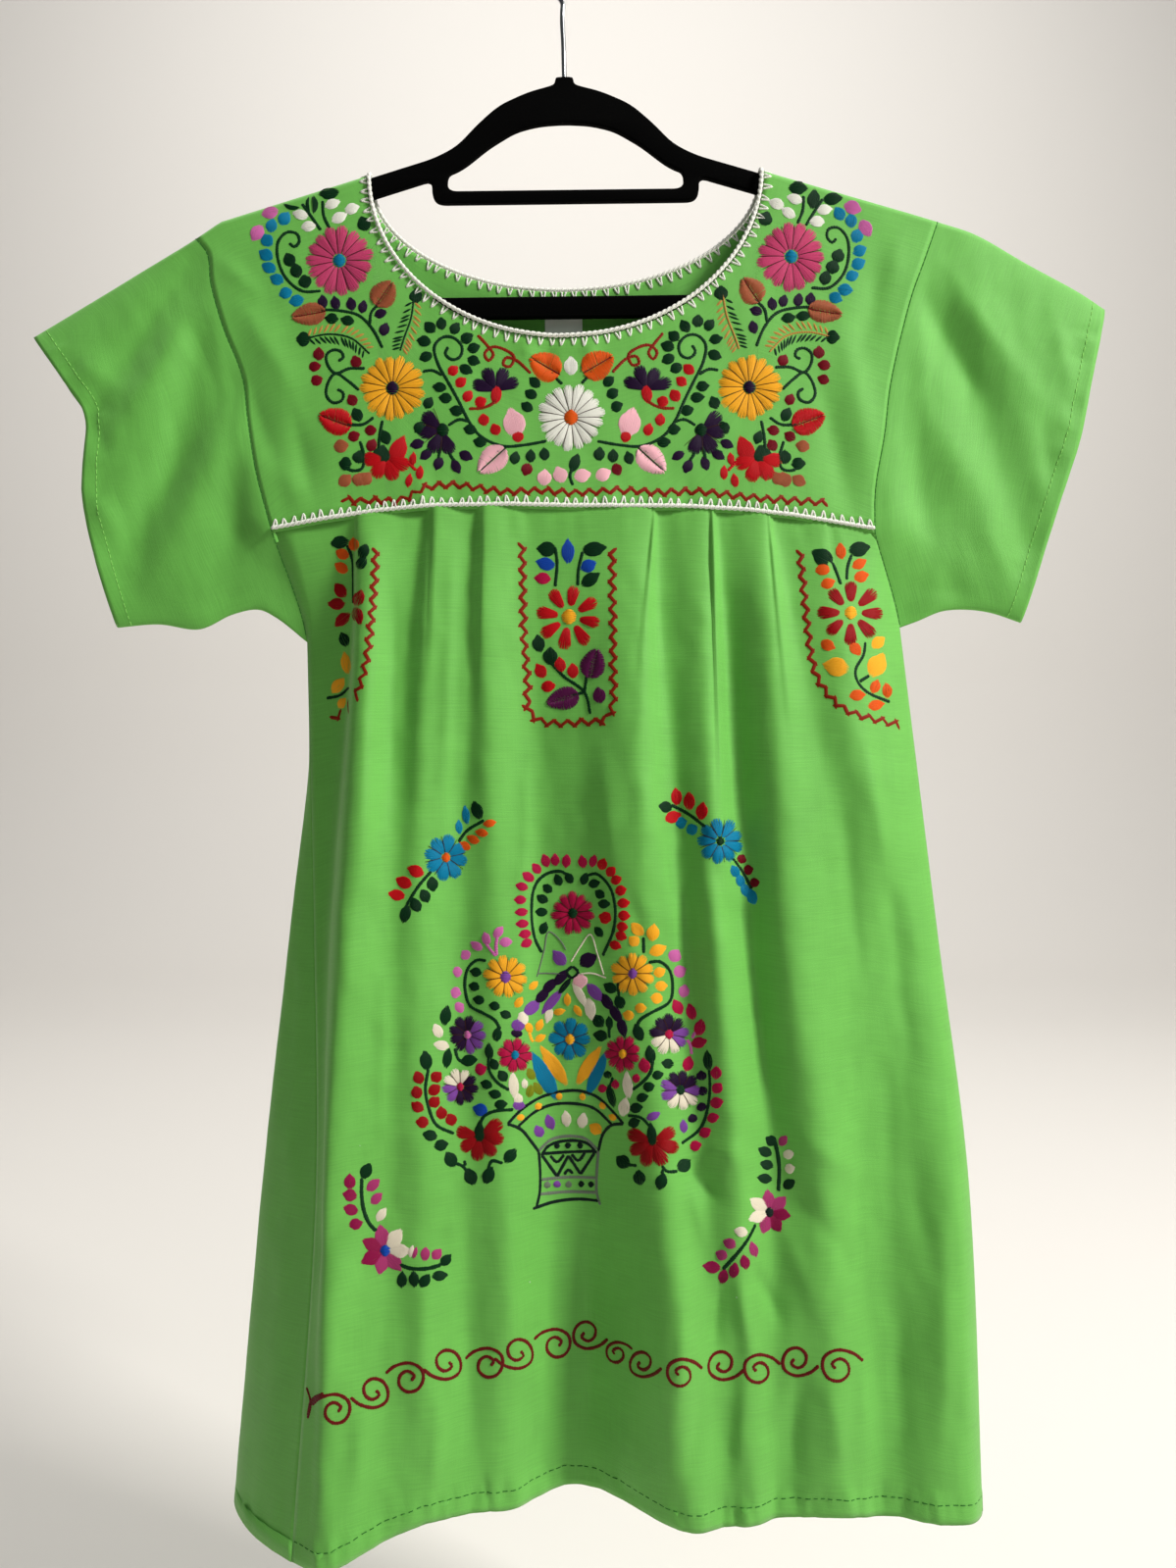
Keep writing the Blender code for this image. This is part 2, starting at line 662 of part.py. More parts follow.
def add_label(parts, finish):
    """The small blank tag inside the back neck, parallel to the cloth and just off it."""
    wide, tall, thick = 23.0, 19.0, 0.8
    top_z = NECK_RIDGE_Z - BACK_DROP - 3.0
    middle = Vector((0.5, 0, top_z - tall / 2))
    inside = -yoke_out(middle.x, middle.z, -1) - WALL / 2 - CORD_GAP - thick / 2
    middle.y = inside
    lean = LEAN_BACK[1]
    mesh = bpy.data.meshes.new("neck_label")
    build = bmesh.new()
    bmesh.ops.create_cube(build, size=1.0)
    bmesh.ops.scale(build, vec=(wide * MM, thick * MM, tall * MM), verts=build.verts)
    build.to_mesh(mesh)
    build.free()
    made = add_object("neck_label", mesh, parts, finish)
    made.location = middle * MM
    made.rotation_euler = (math.atan(lean), 0, 0)
    return made


def main():
    for old in list(bpy.data.objects):
        bpy.data.objects.remove(old)
    parts = bpy.data.collections.new("embroidered_dress")
    bpy.context.scene.collection.children.link(parts)

    green = material("green_cotton", (0.10, 0.42, 0.07), 0.75)
    white = material("white_thread", (0.82, 0.81, 0.76), 0.8)
    black = material("black_flock", (0.012, 0.012, 0.013), 0.95)
    steel = material("bright_steel", (0.75, 0.75, 0.76), 0.22, 1.0)
    tag = material("pale_tag", (0.72, 0.73, 0.72), 0.7)

    yokes = {face: yoke_grids(face) for face in (1, -1)}
    skirts = {1: skirt_grid(FRONT_FOLDS, BACK_FOLDS), -1: skirt_grid(BACK_FOLDS, FRONT_FOLDS)}
    sleeves = {side: sleeve_grid(side, yokes, skirts) for side in SLEEVES}
    part_sides(skirts[1], skirts[-1])
    cloth_object("yoke", [*yokes[1].values(), *yokes[-1].values()], False, parts, green)
    cloth_object("skirt_front", [skirts[1]], False, parts, green)
    cloth_object("skirt_back", [skirts[-1]], False, parts, green)
    for side, grid in sleeves.items():
        cloth_object("sleeve_" + side, [grid], True, parts, green)

    cord_object("neck_edging", neck_cord_points(yokes), CORD_RADIUS, True, 1, parts, white)
    cord_object("yoke_edging_front", seam_cord_points(yokes[1], 1), CORD_RADIUS, False, 1, parts,
                white)
    cord_object("yoke_edging_back", seam_cord_points(yokes[-1], -1), CORD_RADIUS, False, 1, parts,
                white)
    add_label(parts, tag)
    add_hanger(parts, black)
    cord_object("hook", hook_points(), WIRE_RADIUS, False, 2, parts, steel)


main()
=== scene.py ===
"""The looks of the green embroidered dress on its flocked hanger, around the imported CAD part.

Lengths in the tables are millimetres in the part's frame: the origin is the inside of the hook's
top, +X is to the viewer's right and +Z is up. "out" is how far the cloth stands in front of the
hanger's middle plane. The sewing is charted in pixels of the 1199 x 1599 photograph, and each
stitch is laid on the cloth where the camera's ray through its pixel meets it.
"""

import bisect
import math
import random
from typing import NamedTuple

import bmesh
import bpy
import numpy as np
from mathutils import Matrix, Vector, noise
from mathutils.bvhtree import BVHTree


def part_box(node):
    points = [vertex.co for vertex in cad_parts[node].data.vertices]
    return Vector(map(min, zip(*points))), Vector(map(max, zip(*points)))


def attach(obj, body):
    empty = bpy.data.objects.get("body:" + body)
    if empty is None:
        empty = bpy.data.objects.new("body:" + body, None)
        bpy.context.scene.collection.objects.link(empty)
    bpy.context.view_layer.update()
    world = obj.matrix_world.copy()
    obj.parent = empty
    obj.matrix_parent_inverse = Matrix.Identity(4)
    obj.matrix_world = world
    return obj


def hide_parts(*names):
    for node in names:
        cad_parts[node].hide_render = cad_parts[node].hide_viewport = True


MM = 0.001
TINY = 1e-3
CURVE_PARTS = 12
FRONT = 1
BACK = -1

# The photograph: its size, what a pixel measures at the hanger's plane, where the hook's seat
# would be on it, and how far in front of that plane the camera stands
PHOTO_WIDE = 1199
PHOTO_TALL = 1599
PIXEL = 0.6
SEAT_AT = (573.5, -56.8)
EYE_BACK = 721.0
EYE = (15.54 * MM, -EYE_BACK * MM, -513.78 * MM)
SENSOR_MM = 36.0

# Cloth: its thickness, how far and how deep an edge is tucked in, its rows and columns, and its
# soft unevenness, as (height, width, length)
THICK = 0.5
TUCK = 2.5
TUCK_DEEP = 0.25
EDGE_DEEP = 0.28
COLUMN_EVERY = 2.3
LEVEL_ROWS = (16, 50, 42, 54)
ARM_ROW_POWER = 1.7
RUMPLES = ((1.1, 26.0, 40.0), (0.5, 9.0, 14.0))
WELD = 2e-6

# Creases: how much their charted height is raised, how high their ends are and how steep their
# sides. A pleat: the width of its edge, how its step fades, and how much of it shows at the seam
CREASE_GAIN = 1.8
CREASE_ENDS = 0.35
CREASE_POWER = 1.6
PLEAT_EDGE = 1.6
PLEAT_FADE = 0.7
PLEAT_HELD = 0.35
PLEAT_OPENS = 4

# The small creases that sewing draws up, in pixels
DRAWN_LEAN = (-9, 7)
DRAWN_TALL = (3, 16)
DRAWN_HIGH = (0.4, 1.0)
DRAWN_WIDE = (1.8, 3.4)
DRAWN_EVERY = (8, 20)
HEM_DRAWS = 1.1
SEAM_DRAWS = 0.7
SEAM_DRAWN = (290, 880)
SEAM_DRAWN_DOWN = 14

# Hanger, in its own upright frame
HANGER_ROLL = math.radians(0.7)
HANGER_THICK = 5.0
HANGER_ROUND = 1.3
CORNERS_EASED = (7.0, 6.0, 5.0)
EASE_PARTS = 4
ARM_SLOPE = math.tan(math.radians(16.8))
ARM_START_X = 121.0
ARM_START_Z = -143.1
ARM_DEEP = 12.5
ARM_END_X = 206.0
ARM_TIP_X = 210.0
TIE_HALF = 81.5
TIE_TOP = -151.0
TIE_BOTTOM = -158.5
STRUT_WIDE = 9.5
BAR_TOP = -216.0
BAR_BOTTOM = -229.0
BLOCK_TOP = -82.0
STEM_GAP = 0.3

# Hook
WIRE_RADIUS = 1.5
HOOK_RADIUS = 18.0
HOOK_START = 205
HOOK_TURN = 235
HOOK_KNOTS = 14

# Yoke
RIDGE_ROUND = 4.4
NECK_MIDDLE_X = 1.7
NECK_HALF = 121.0
NECK_RIDGE_Z = -141.2
FRONT_DROP = 104.5
BACK_DROP = 68.5
LEAN_FRONT = (0.043, 0.070)
LEAN_BACK = (0.033, 0.055)
LEAN_HALF = 190.0
YOKE_ROWS = 56
SHELF_ROW = 28
YOKE_ROW_POWER = 2.6
SHELF_DOWN = 30.0
SHOULDER_COLUMNS = 34
NECK_COLUMNS = 104
SEAM_LEFT_X = -103.0
SEAM_RIGHT_X = 115.0
NECK_CORD_IN = 1.7
NECK_CORD_OUT = 1.2
CORD_RADIUS = 1.5
YOKE_CALM = 0.6
YOKE_RUMPLE = 0.6

# Skirt
WAIST_Z = -603.0
HIP_Z = -755.0
HEM_DEEP = 11.0
HEM_TURN = 0.6
HEM_INSIDE = 0.9
SIDE_CALM = 25
SEAM_CALM = 8

# Sleeves
SLEEVE_STEPS = 52
SLEEVE_STEP_POWER = 1.15
SLEEVE_FULL = 9.0
SLEEVE_ROUND = 0.4
SLEEVE_FREE = 0.35
SLEEVE_CALM = 9
VALLEY_STARTS = 0.2
SLEEVE_BACK_SHIFT = (0, 14)
CUFF_BACK_LONGER = 4.0
CUFF_DEEP = 9.0
CUFF_DRAWN_LONG = (18, 34)
CUFF_DRAWN_LEAN = (-8, 8)
CUFF_DRAWN_HIGH = (0.3, 0.9)
CUFF_DRAWN_WIDE = (2.0, 3.6)
CUFF_DRAWN_EVERY = (0.03, 0.08)

# Colours of the materials, as they are seen in plain light
CLOTH_GREEN = (104, 182, 74)
EDGING_WHITE = (236, 236, 226)
CUFF_GREEN = (150, 220, 110)
SEAM_GREEN = (50, 116, 44)
FLOCK_BLACK = (2, 2, 2)
STEEL_GREY = (222, 224, 226)
TAG_WHITE = (236, 238, 230)

# The shader's sockets by short names
SHADER_SOCKETS = {
    "roughness": "Roughness",
    "metallic": "Metallic",
    "specular": "Specular IOR Level",
    "sheen": "Sheen Weight",
    "sheen_roughness": "Sheen Roughness",
    "sheen_tint": "Sheen Tint",
}

# The crocheted edging: its cord, and its loops as (how deep, how far apart). A loop's line is
# given as (along the cord, share of the way in)
ROPE_RADIUS = 1.15
ROPE_SIDES = 10
ROPE_PLIES = 2
ROPE_PITCH = 3.4
ROPE_SWELL = 0.26
ROPE_TIP = 0.35
ROPE_EVERY = 0.7
LOOP_RADIUS = 0.6
LOOP_SHAPE = ((-1.35, 0.0), (-0.85, 0.55), (-0.1, 1.0), (0.75, 0.6), (1.3, 0.0))
LOOP_LIFT = 0.35
NECK_LOOPS = (5.6, 6.5)
SEAM_LOOPS = (4.6, 5.7)
LOOPS_START = 2.0
LOOPS_END = 1.5
LOOP_LEAN = 0.7
INNER_SHIFT = 3.2
BACK_NECK_Y = 4.0
SEAM_CORD_UP = 1.0
SEAM_CORD_OUT = 0.4

# Plain sewing, as (length, gap, radius) of its stitches
HEM_SEWING = (2.8, 1.9, 0.30)
CUFF_SEWING = (2.4, 1.4, 0.26)
ARMHOLE_SEWING = (3.0, 0.5, 0.26)
DASH_EVERY = 0.6
SEWING_LIFT = 0.3
ARMHOLE_FROM_ROW = 3
ARMHOLE_OUT = 0.5
ARMHOLE_LIFT = 0.15
EDGE_ROWS = 12

# Embroidery, in pixels of the photograph where no unit is named
STRAND = 1.15
STRAND_CROWN_MM = 0.30
SATIN_PAD_MM = 0.75
STITCH_LOOSE = 0.35
# How far below a strand's bed its edges lie, and at its two ends its edges and its crown
EDGE_SINKS_MM = 0.05
STITCH_SINKS_MM = 0.30
CROWN_SINKS_MM = 0.10
# A thread isn't sewn where the cloth under it is this many times as long as it looks, and more
SPAN_TIMES = 2.4
SPAN_MORE_MM = 2.0
STEM_STITCH = 4.2
STEM_CROWN_MM = 0.42
CURL_WIDE = 3.3
BARB_EVERY = 5.2
ZIGZAG_PITCH = 14.0
ZIGZAG_HALF = 5.0
ZIGZAG_WIDE = 3.5
# The two slanting stitches of each zigzag: the side they start on, and their ends in pitches
ZIGZAG_STITCHES = ((1, -0.2, 0.7), (-1, 0.3, 1.2))

# The middle line of the yoke's charts, and where they narrow above
TWIN_MIDDLE = 583
TWIN_TOP = 230

# The studio, in metres: its floor, and the sweep up into the backdrop, as (y, height)
FLOOR_Z = -1.16
SWEEP_HALF = 9
SWEEP = ((-7.0, 0.0), (2.6, 0.0), (3.3, 0.12), (3.8, 0.5), (4.0, 1.1), (4.0, 8.16))
PAPER = (0.78, 0.75, 0.71)
AIR = (0.74, 0.77, 0.80, 1.0)
AIR_STRENGTH = 0.08
# Each light's place, what it points at, its side in metres, its power and its colour
LIGHTS = {
    "window": ((2.1, -1.25, 1.1), (0.0, 0.0, -0.4), 0.5, 98, (1.0, 0.98, 0.94)),
    "fill": ((0.9, -3.4, 0.9), (0.0, 0.0, -0.4), 1.6, 10, (0.94, 0.98, 1.0)),
    "backdrop": ((0.0, 0.9, 2.8), (0.0, 4.0, 0.1), 3.6, 138, (1.0, 0.99, 0.97)),
}

# Thread colours, as they are seen in plain light. The one called shade is painted shade: the dark
# of the strands laid in the gaps between petals
THREADS = {
    "green": (2, 48, 20),
    "rose": (200, 68, 112),
    "magenta": (178, 12, 66),
    "orchid": (205, 105, 170),
    "pale_pink": (250, 190, 200),
    "turquoise": (2, 124, 164),
    "blue": (16, 70, 170),
    "white": (240, 240, 228),
    "cream": (232, 222, 200),
    "plum": (34, 10, 46),
    "violet": (126, 70, 158),
    "purple": (92, 20, 74),
    "terracotta": (162, 88, 56),
    "tan": (186, 138, 66),
    "amber": (248, 176, 38),
    "orange": (222, 88, 16),
    "red": (190, 10, 20),
    "crimson": (150, 6, 14),
    "wine": (116, 4, 24),
    "rust": (134, 30, 10),
    "maroon": (104, 16, 16),
    "grey": (112, 124, 106),
    "olive": (124, 134, 24),
    "ink": (12, 32, 26),
    "berry": (140, 14, 68),
    "mauve": (170, 56, 110),
    "shade": (58, 30, 22),
}


class Flower(NamedTuple):
    """A satin-stitched flower: its middle, its radius, how many petals share the full turn, the
    colours of those that are sewn, in order from first, and its eye. almond makes each petal a
    separate leaf this many times as wide as long."""

    at: tuple
    radius: float
    petals: int
    colours: tuple
    eye: str
    eye_radius: float
    first: float = 0.0
    narrow: float = 1.0
    root: float = 0.2
    almond: float = 0.0


class Leaf(NamedTuple):
    """A satin-stitched leaf or bud: turn is the way its tip points, in degrees anticlockwise from
    the right. A rib colour sews it in two slanting halves."""

    at: tuple
    long: float
    wide: float
    turn: float
    colour: str
    rib: str = ""


class Row(NamedTuple):
    """Buds or leaves of one colour and size, each an (x, y, turn)."""

    colour: str
    long: float
    wide: float
    spots: tuple


class Stem(NamedTuple):
    """A line of stem stitch through some pixels."""

    colour: str
    spots: tuple
    wide: float = 3.2


class Fern(NamedTuple):
    """A stem with short straight barbs, of one colour on its left and another on its right."""

    spots: tuple
    left: str
    right: str
    barb: float


YOKE_HALF = (
    Flower((346, 266), 35, 15, ("rose",) * 15, "turquoise", 6.5),
    Flower((400, 396), 33, 17, ("amber",) * 17, "plum", 6.5),
    Flower((451, 439), 26, 7, ("plum",) * 4, "green", 7, 112, 0.94, 0.1),
    Flower((506, 399), 26, 8, ("plum",) * 4, "", 0, 2, 0.94, 0.1),
    Flower((394, 467), 25, 7, ("red",) * 4, "", 0, 160, 1.0, 0.1),
    Leaf((406, 459), 31, 16, 68, "red"),
    Leaf((389, 464), 21, 17, 80, "green"),
    Leaf((506, 402), 21, 10, 80, "red"),
    Leaf((314, 321), 34, 20, 190, "terracotta", "wine"),
    Leaf((392, 299), 29, 23, 55, "terracotta", "wine"),
    Leaf((341, 429), 34, 24, 160, "red", "wine"),
    Leaf((555, 373), 34, 26, 150, "orange", "wine"),
    Leaf((524, 431), 30, 21, 105, "pale_pink"),
    Leaf((501, 470), 35, 23, 222, "pale_pink", "ink"),
    Row("turquoise", 15, 11, (
        (290, 223, 60), (277, 230, 80), (272, 245, 120), (271, 260, 150), (274, 273, 150),
        (282, 285, 160), (291, 299, 190), (302, 307, 200))),
    Row("orchid", 19, 13, ((275, 217, 200), (262, 238, 240))),
    Row("green", 20, 12, ((297, 208, 170), (318, 208, 95), (335, 197, 185))),
    Row("white", 16, 10, ((306, 219, 170), (315, 231, 0), (346, 222, 30), (339, 208, 20),
                         (359, 213, 15))),
    Row("green", 15, 13, ((371, 228, 120), (424, 302, 90), (309, 346, 180))),
    Row("green", 15, 12, ((295, 265, 110), (302, 276, 110), (311, 287, 110))),
    Row("plum", 14, 9, ((329, 308, 100), (342, 309, 100), (358, 310, 100), (370, 313, 75),
                        (388, 320, 15), (392, 336, 75))),
    Row("green", 15, 10, ((338, 325, 170), (354, 327, 165), (364, 423, 120), (393, 446, 110))),
    Row("wine", 13, 10, ((325, 361, 95), (321, 374, 10), (323, 388, 25), (363, 369, 110),
                        (359, 408, 120), (361, 445, 30), (378, 439, 10), (379, 454, 60),
                        (537, 479, 250))),
    Row("terracotta", 15, 12, ((348, 455, 10), (352, 490, 35), (366, 489, 70), (373, 488, 60))),
    Row("green", 14, 12, ((352, 473, 170), (366, 466, 80))),
    Row("red", 14, 7, ((421, 468, 80), (428, 482, 90), (417, 490, 80))),
    Row("plum", 15, 9, ((425, 453, 200), (434, 464, 215), (447, 473, 250), (465, 476, 300),
                        (475, 465, 330))),
    Row("green", 14, 10, ((438, 334, 130), (450, 330, 92), (464, 335, 60), (476, 345, 40),
                           (483, 355, 15), (483, 368, 340), (475, 377, 330), (432, 348, 165),
                           (434, 364, 200), (448, 395, 170), (454, 406, 170), (437, 411, 60),
                           (465, 419, 165), (479, 438, 170), (489, 451, 175), (525, 467, 75),
                           (541, 465, 90), (555, 463, 95), (545, 390, 140), (541, 402, 150),
                           (537, 415, 150), (428, 436, 60))),
    Row("red", 13, 10, ((462, 378, 40), (470, 390, 40), (477, 404, 60), (490, 410, 20),
                       (493, 428, 100), (505, 438, 110), (528, 445, 100))),
    Stem("green", ((327, 297), (308, 297), (291, 283), (283, 262), (284, 246), (293, 237),
                   (303, 239), (305, 247), (300, 252), (295, 248))),
    Stem("green", ((327, 316), (346, 317), (366, 322), (380, 336), (390, 355))),
    Stem("green", ((390, 308), (379, 318), (377, 331))),
    Stem("green", ((308, 208), (318, 222), (327, 235))),
    Stem("green", ((329, 205), (330, 220), (336, 233))),
    Stem("green", ((372, 376), (356, 376), (342, 381), (334, 372), (333, 362), (340, 357),
                   (348, 359), (350, 365), (345, 368))),
    Stem("green", ((366, 398), (354, 388), (342, 381), (334, 392), (333, 404), (340, 411),
                   (349, 408), (350, 401), (344, 397))),
    Stem("green", ((367, 450), (371, 465), (369, 478), (359, 480), (349, 475))),
    Stem("green", ((390, 429), (387, 445), (386, 460))),
    Stem("green", ((381, 426), (370, 433), (354, 433))),
    Stem("red", ((408, 467), (416, 472), (424, 480))),
    Stem("green", ((557, 450), (534, 454), (512, 455), (490, 445), (478, 430), (468, 410),
                   (457, 390), (446, 370), (443, 353), (452, 344), (463, 345), (471, 354),
                   (469, 364), (461, 367), (454, 361), (457, 354))),
    Stem("green", ((431, 379), (441, 378), (451, 383))),
    Stem("green", ((444, 452), (438, 458), (430, 462))),
    Stem("green", ((450, 456), (448, 462), (447, 468))),
    Stem("green", ((457, 456), (459, 464), (463, 470))),
    Stem("green", ((457, 434), (468, 428), (478, 430))),
    Stem("rust", ((507, 396), (505, 409), (493, 416), (478, 417))),
    Stem("green", ((562, 380), (568, 387), (573, 392))),
    Stem("green", ((505, 462), (512, 456))),
    Stem("rust", ((487, 342), (497, 353), (503, 362), (498, 368), (494, 361), (502, 354),
                  (515, 357), (524, 364), (520, 374), (513, 372), (516, 365), (527, 368),
                  (535, 375), (541, 381))),
    Fern(((309, 346), (335, 341), (358, 345), (377, 361)), "tan", "green", 12.5),
    Fern(((422, 304), (419, 325), (412, 345), (408, 358)), "tan", "green", 12.5),
)

YOKE_MIDDLE = (
    Flower((582, 426), 34, 17, ("white",) * 17, "orange", 7.5),
    Leaf((582, 373), 19, 13, 90, "white"),
    Leaf((586, 472), 20, 10, 70, "green"),
    Stem("green", ((583, 478), (581, 486), (584, 495))),
    Row("pale_pink", 17, 13, ((555, 487, 80), (571, 484, 110), (594, 485, 15), (615, 484, 30))),
)

YOKE_BORDER = ((348, 508), (362, 512), (380, 510), (410, 511), (420, 505), (432, 497), (470, 495),
               (500, 500), (520, 502), (552, 500), (583, 503), (612, 501), (640, 500), (670, 503),
               (700, 501), (730, 503), (760, 507), (800, 510), (845, 513))

MIDDLE_PANEL = (
    Flower((580, 629), 33, 8, ("red",) * 8, "amber", 7.5, 12, 0.62, 0.34),
    Leaf((557, 560), 20, 14, 175, "green"),
    Leaf((606, 560), 25, 14, 8, "green"),
    Leaf((579, 562), 25, 12, 90, "blue"),
    Leaf((556, 575), 20, 12, 165, "blue"),
    Leaf((553, 590), 17, 11, 175, "magenta"),
    Leaf((600, 577), 17, 12, 25, "blue"),
    Leaf((602, 591), 22, 12, 35, "green"),
    Leaf((549, 656), 18, 12, 100, "green"),
    Leaf((561, 669), 18, 14, 90, "green"),
    Row("red", 16, 11, ((551, 684, 120), (571, 678, 100), (584, 684, 100), (559, 700, 10))),
    Leaf((605, 676), 30, 22, 75, "purple", "purple"),
    Leaf((573, 713), 33, 20, 195, "purple", "purple"),
    Leaf((611, 709), 17, 12, 100, "purple"),
    Stem("green", ((566, 558), (568, 575), (566, 598))),
    Stem("green", ((594, 563), (590, 580), (589, 597))),
    Stem("green", ((560, 674), (575, 690), (596, 706), (602, 728))),
    Stem("green", ((598, 690), (596, 706))),
    Stem("green", ((584, 709), (596, 706))),
)
MIDDLE_FRAME = ((532, 553), (533, 600), (534, 650), (538, 700), (537, 724), (548, 735), (570, 738),
                (600, 736), (618, 735), (625, 722), (625, 690), (625, 640), (624, 600), (624, 558))

RIGHT_PANEL = (
    Flower((867, 625), 33, 8, ("crimson",) * 8, "amber", 6.5, 20, 0.62, 0.34),
    Leaf((838, 568), 24, 16, 150, "green"),
    Leaf((876, 560), 23, 14, 15, "green"),
    Row("orange", 16, 10, ((857, 562, 90), (839, 581, 0), (844, 595, 20), (876, 575, 30),
                           (878, 588, 20), (844, 658, 330), (872, 662, 310), (874, 709, 0),
                           (892, 700, 60), (904, 704, 100), (893, 719, 10))),
    Leaf((852, 680), 26, 18, 170, "amber"),
    Leaf((894, 678), 26, 18, 60, "amber"),
    Leaf((895, 655), 16, 11, 40, "amber"),
    Stem("green", ((846, 570), (852, 582), (857, 596))),
    Stem("green", ((868, 566), (864, 578), (863, 591))),
    Stem("green", ((882, 655), (880, 668), (872, 683), (874, 695), (884, 706), (907, 716))),
    Stem("green", ((886, 689), (876, 695))),
)
RIGHT_FRAME = ((815, 560), (817, 580), (820, 610), (823, 640), (827, 670), (833, 692), (845, 709),
               (858, 722), (880, 731), (900, 735), (919, 740))

LEFT_PANEL = (
    Leaf((346, 553), 20, 12, 190, "green"),
    Row("orange", 15, 10, ((349, 565, 160), (348, 579, 150), (361, 555, 95))),
    Row("crimson", 19, 11, ((347, 602, 130), (343, 616, 175), (349, 632, 220), (366, 610, 70),
                        (365, 628, 280))),
    Row("green", 16, 10, ((371, 562, 70), (369, 574, 60), (351, 652, 110))),
    Leaf((353, 676), 23, 10, 100, "amber"),
    Leaf((345, 699), 19, 11, 50, "amber"),
    Stem("green", ((354, 556), (359, 570), (360, 590), (360, 615))),
    Stem("green", ((333, 712), (347, 709), (357, 700))),
    Row("amber", 12, 8, ((349, 717, 60),)),
)
LEFT_FRAME = ((383, 558), (382, 585), (380, 615), (377, 645), (372, 680), (367, 700), (355, 722),
              (338, 735))

# The next charts are drawn on enlargements of the photograph: the pixel at their top left corner,
# and how many of their own steps go to a pixel
SPRIG_CORNER = (380, 780)
SPRIG_STEPS = 3.733
BOUQUET_CORNER = (400, 850)
BOUQUET_STEPS = 4.021

UPPER_SPRIGS = (
    Stem("green", ((326, 292), (360, 250), (424, 211))),
    Stem("green", ((222, 405), (175, 460), (130, 532))),
    Stem("green", ((1135, 152), (1200, 186), (1268, 238))),
    Stem("green", ((1368, 354), (1410, 412), (1442, 472))),
    Flower((278, 352), 88, 8, ("turquoise",) * 8, "orange", 17, 12),
    Flower((1322, 290), 88, 9, ("turquoise",) * 9, "green", 16, 0),
    Leaf((397, 172), 75, 40, 112, "green"),
    Leaf((355, 190), 72, 26, 97, "turquoise"),
    Leaf((328, 236), 56, 24, 95, "turquoise"),
    Row("orange", 50, 27, ((445, 222, 10), (414, 258, 165), (382, 283, 160), (350, 308, 150))),
    Leaf((125, 565), 72, 38, 75, "green"),
    Row("green", 57, 40, ((163, 532, 115), (198, 498, 112), (226, 453, 100))),
    Row("red", 68, 40, ((163, 404, 150), (118, 447, 155), (90, 495, 172))),
    Leaf((1112, 160), 52, 40, 170, "green"),
    Row("red", 68, 41, ((1155, 120, 100), (1205, 137, 88), (1253, 175, 82), (1143, 198, 25))),
    Row("turquoise", 48, 42, ((1174, 220, 20), (1216, 245, 30))),
    Row("wine", 38, 35, ((1403, 358, 60), (1430, 400, 20), (1454, 448, 10))),
    Row("turquoise", 54, 32, ((1377, 405, 115), (1397, 440, 110), (1416, 475, 110))),
    Leaf((1442, 500), 66, 38, 110, "turquoise"),
)

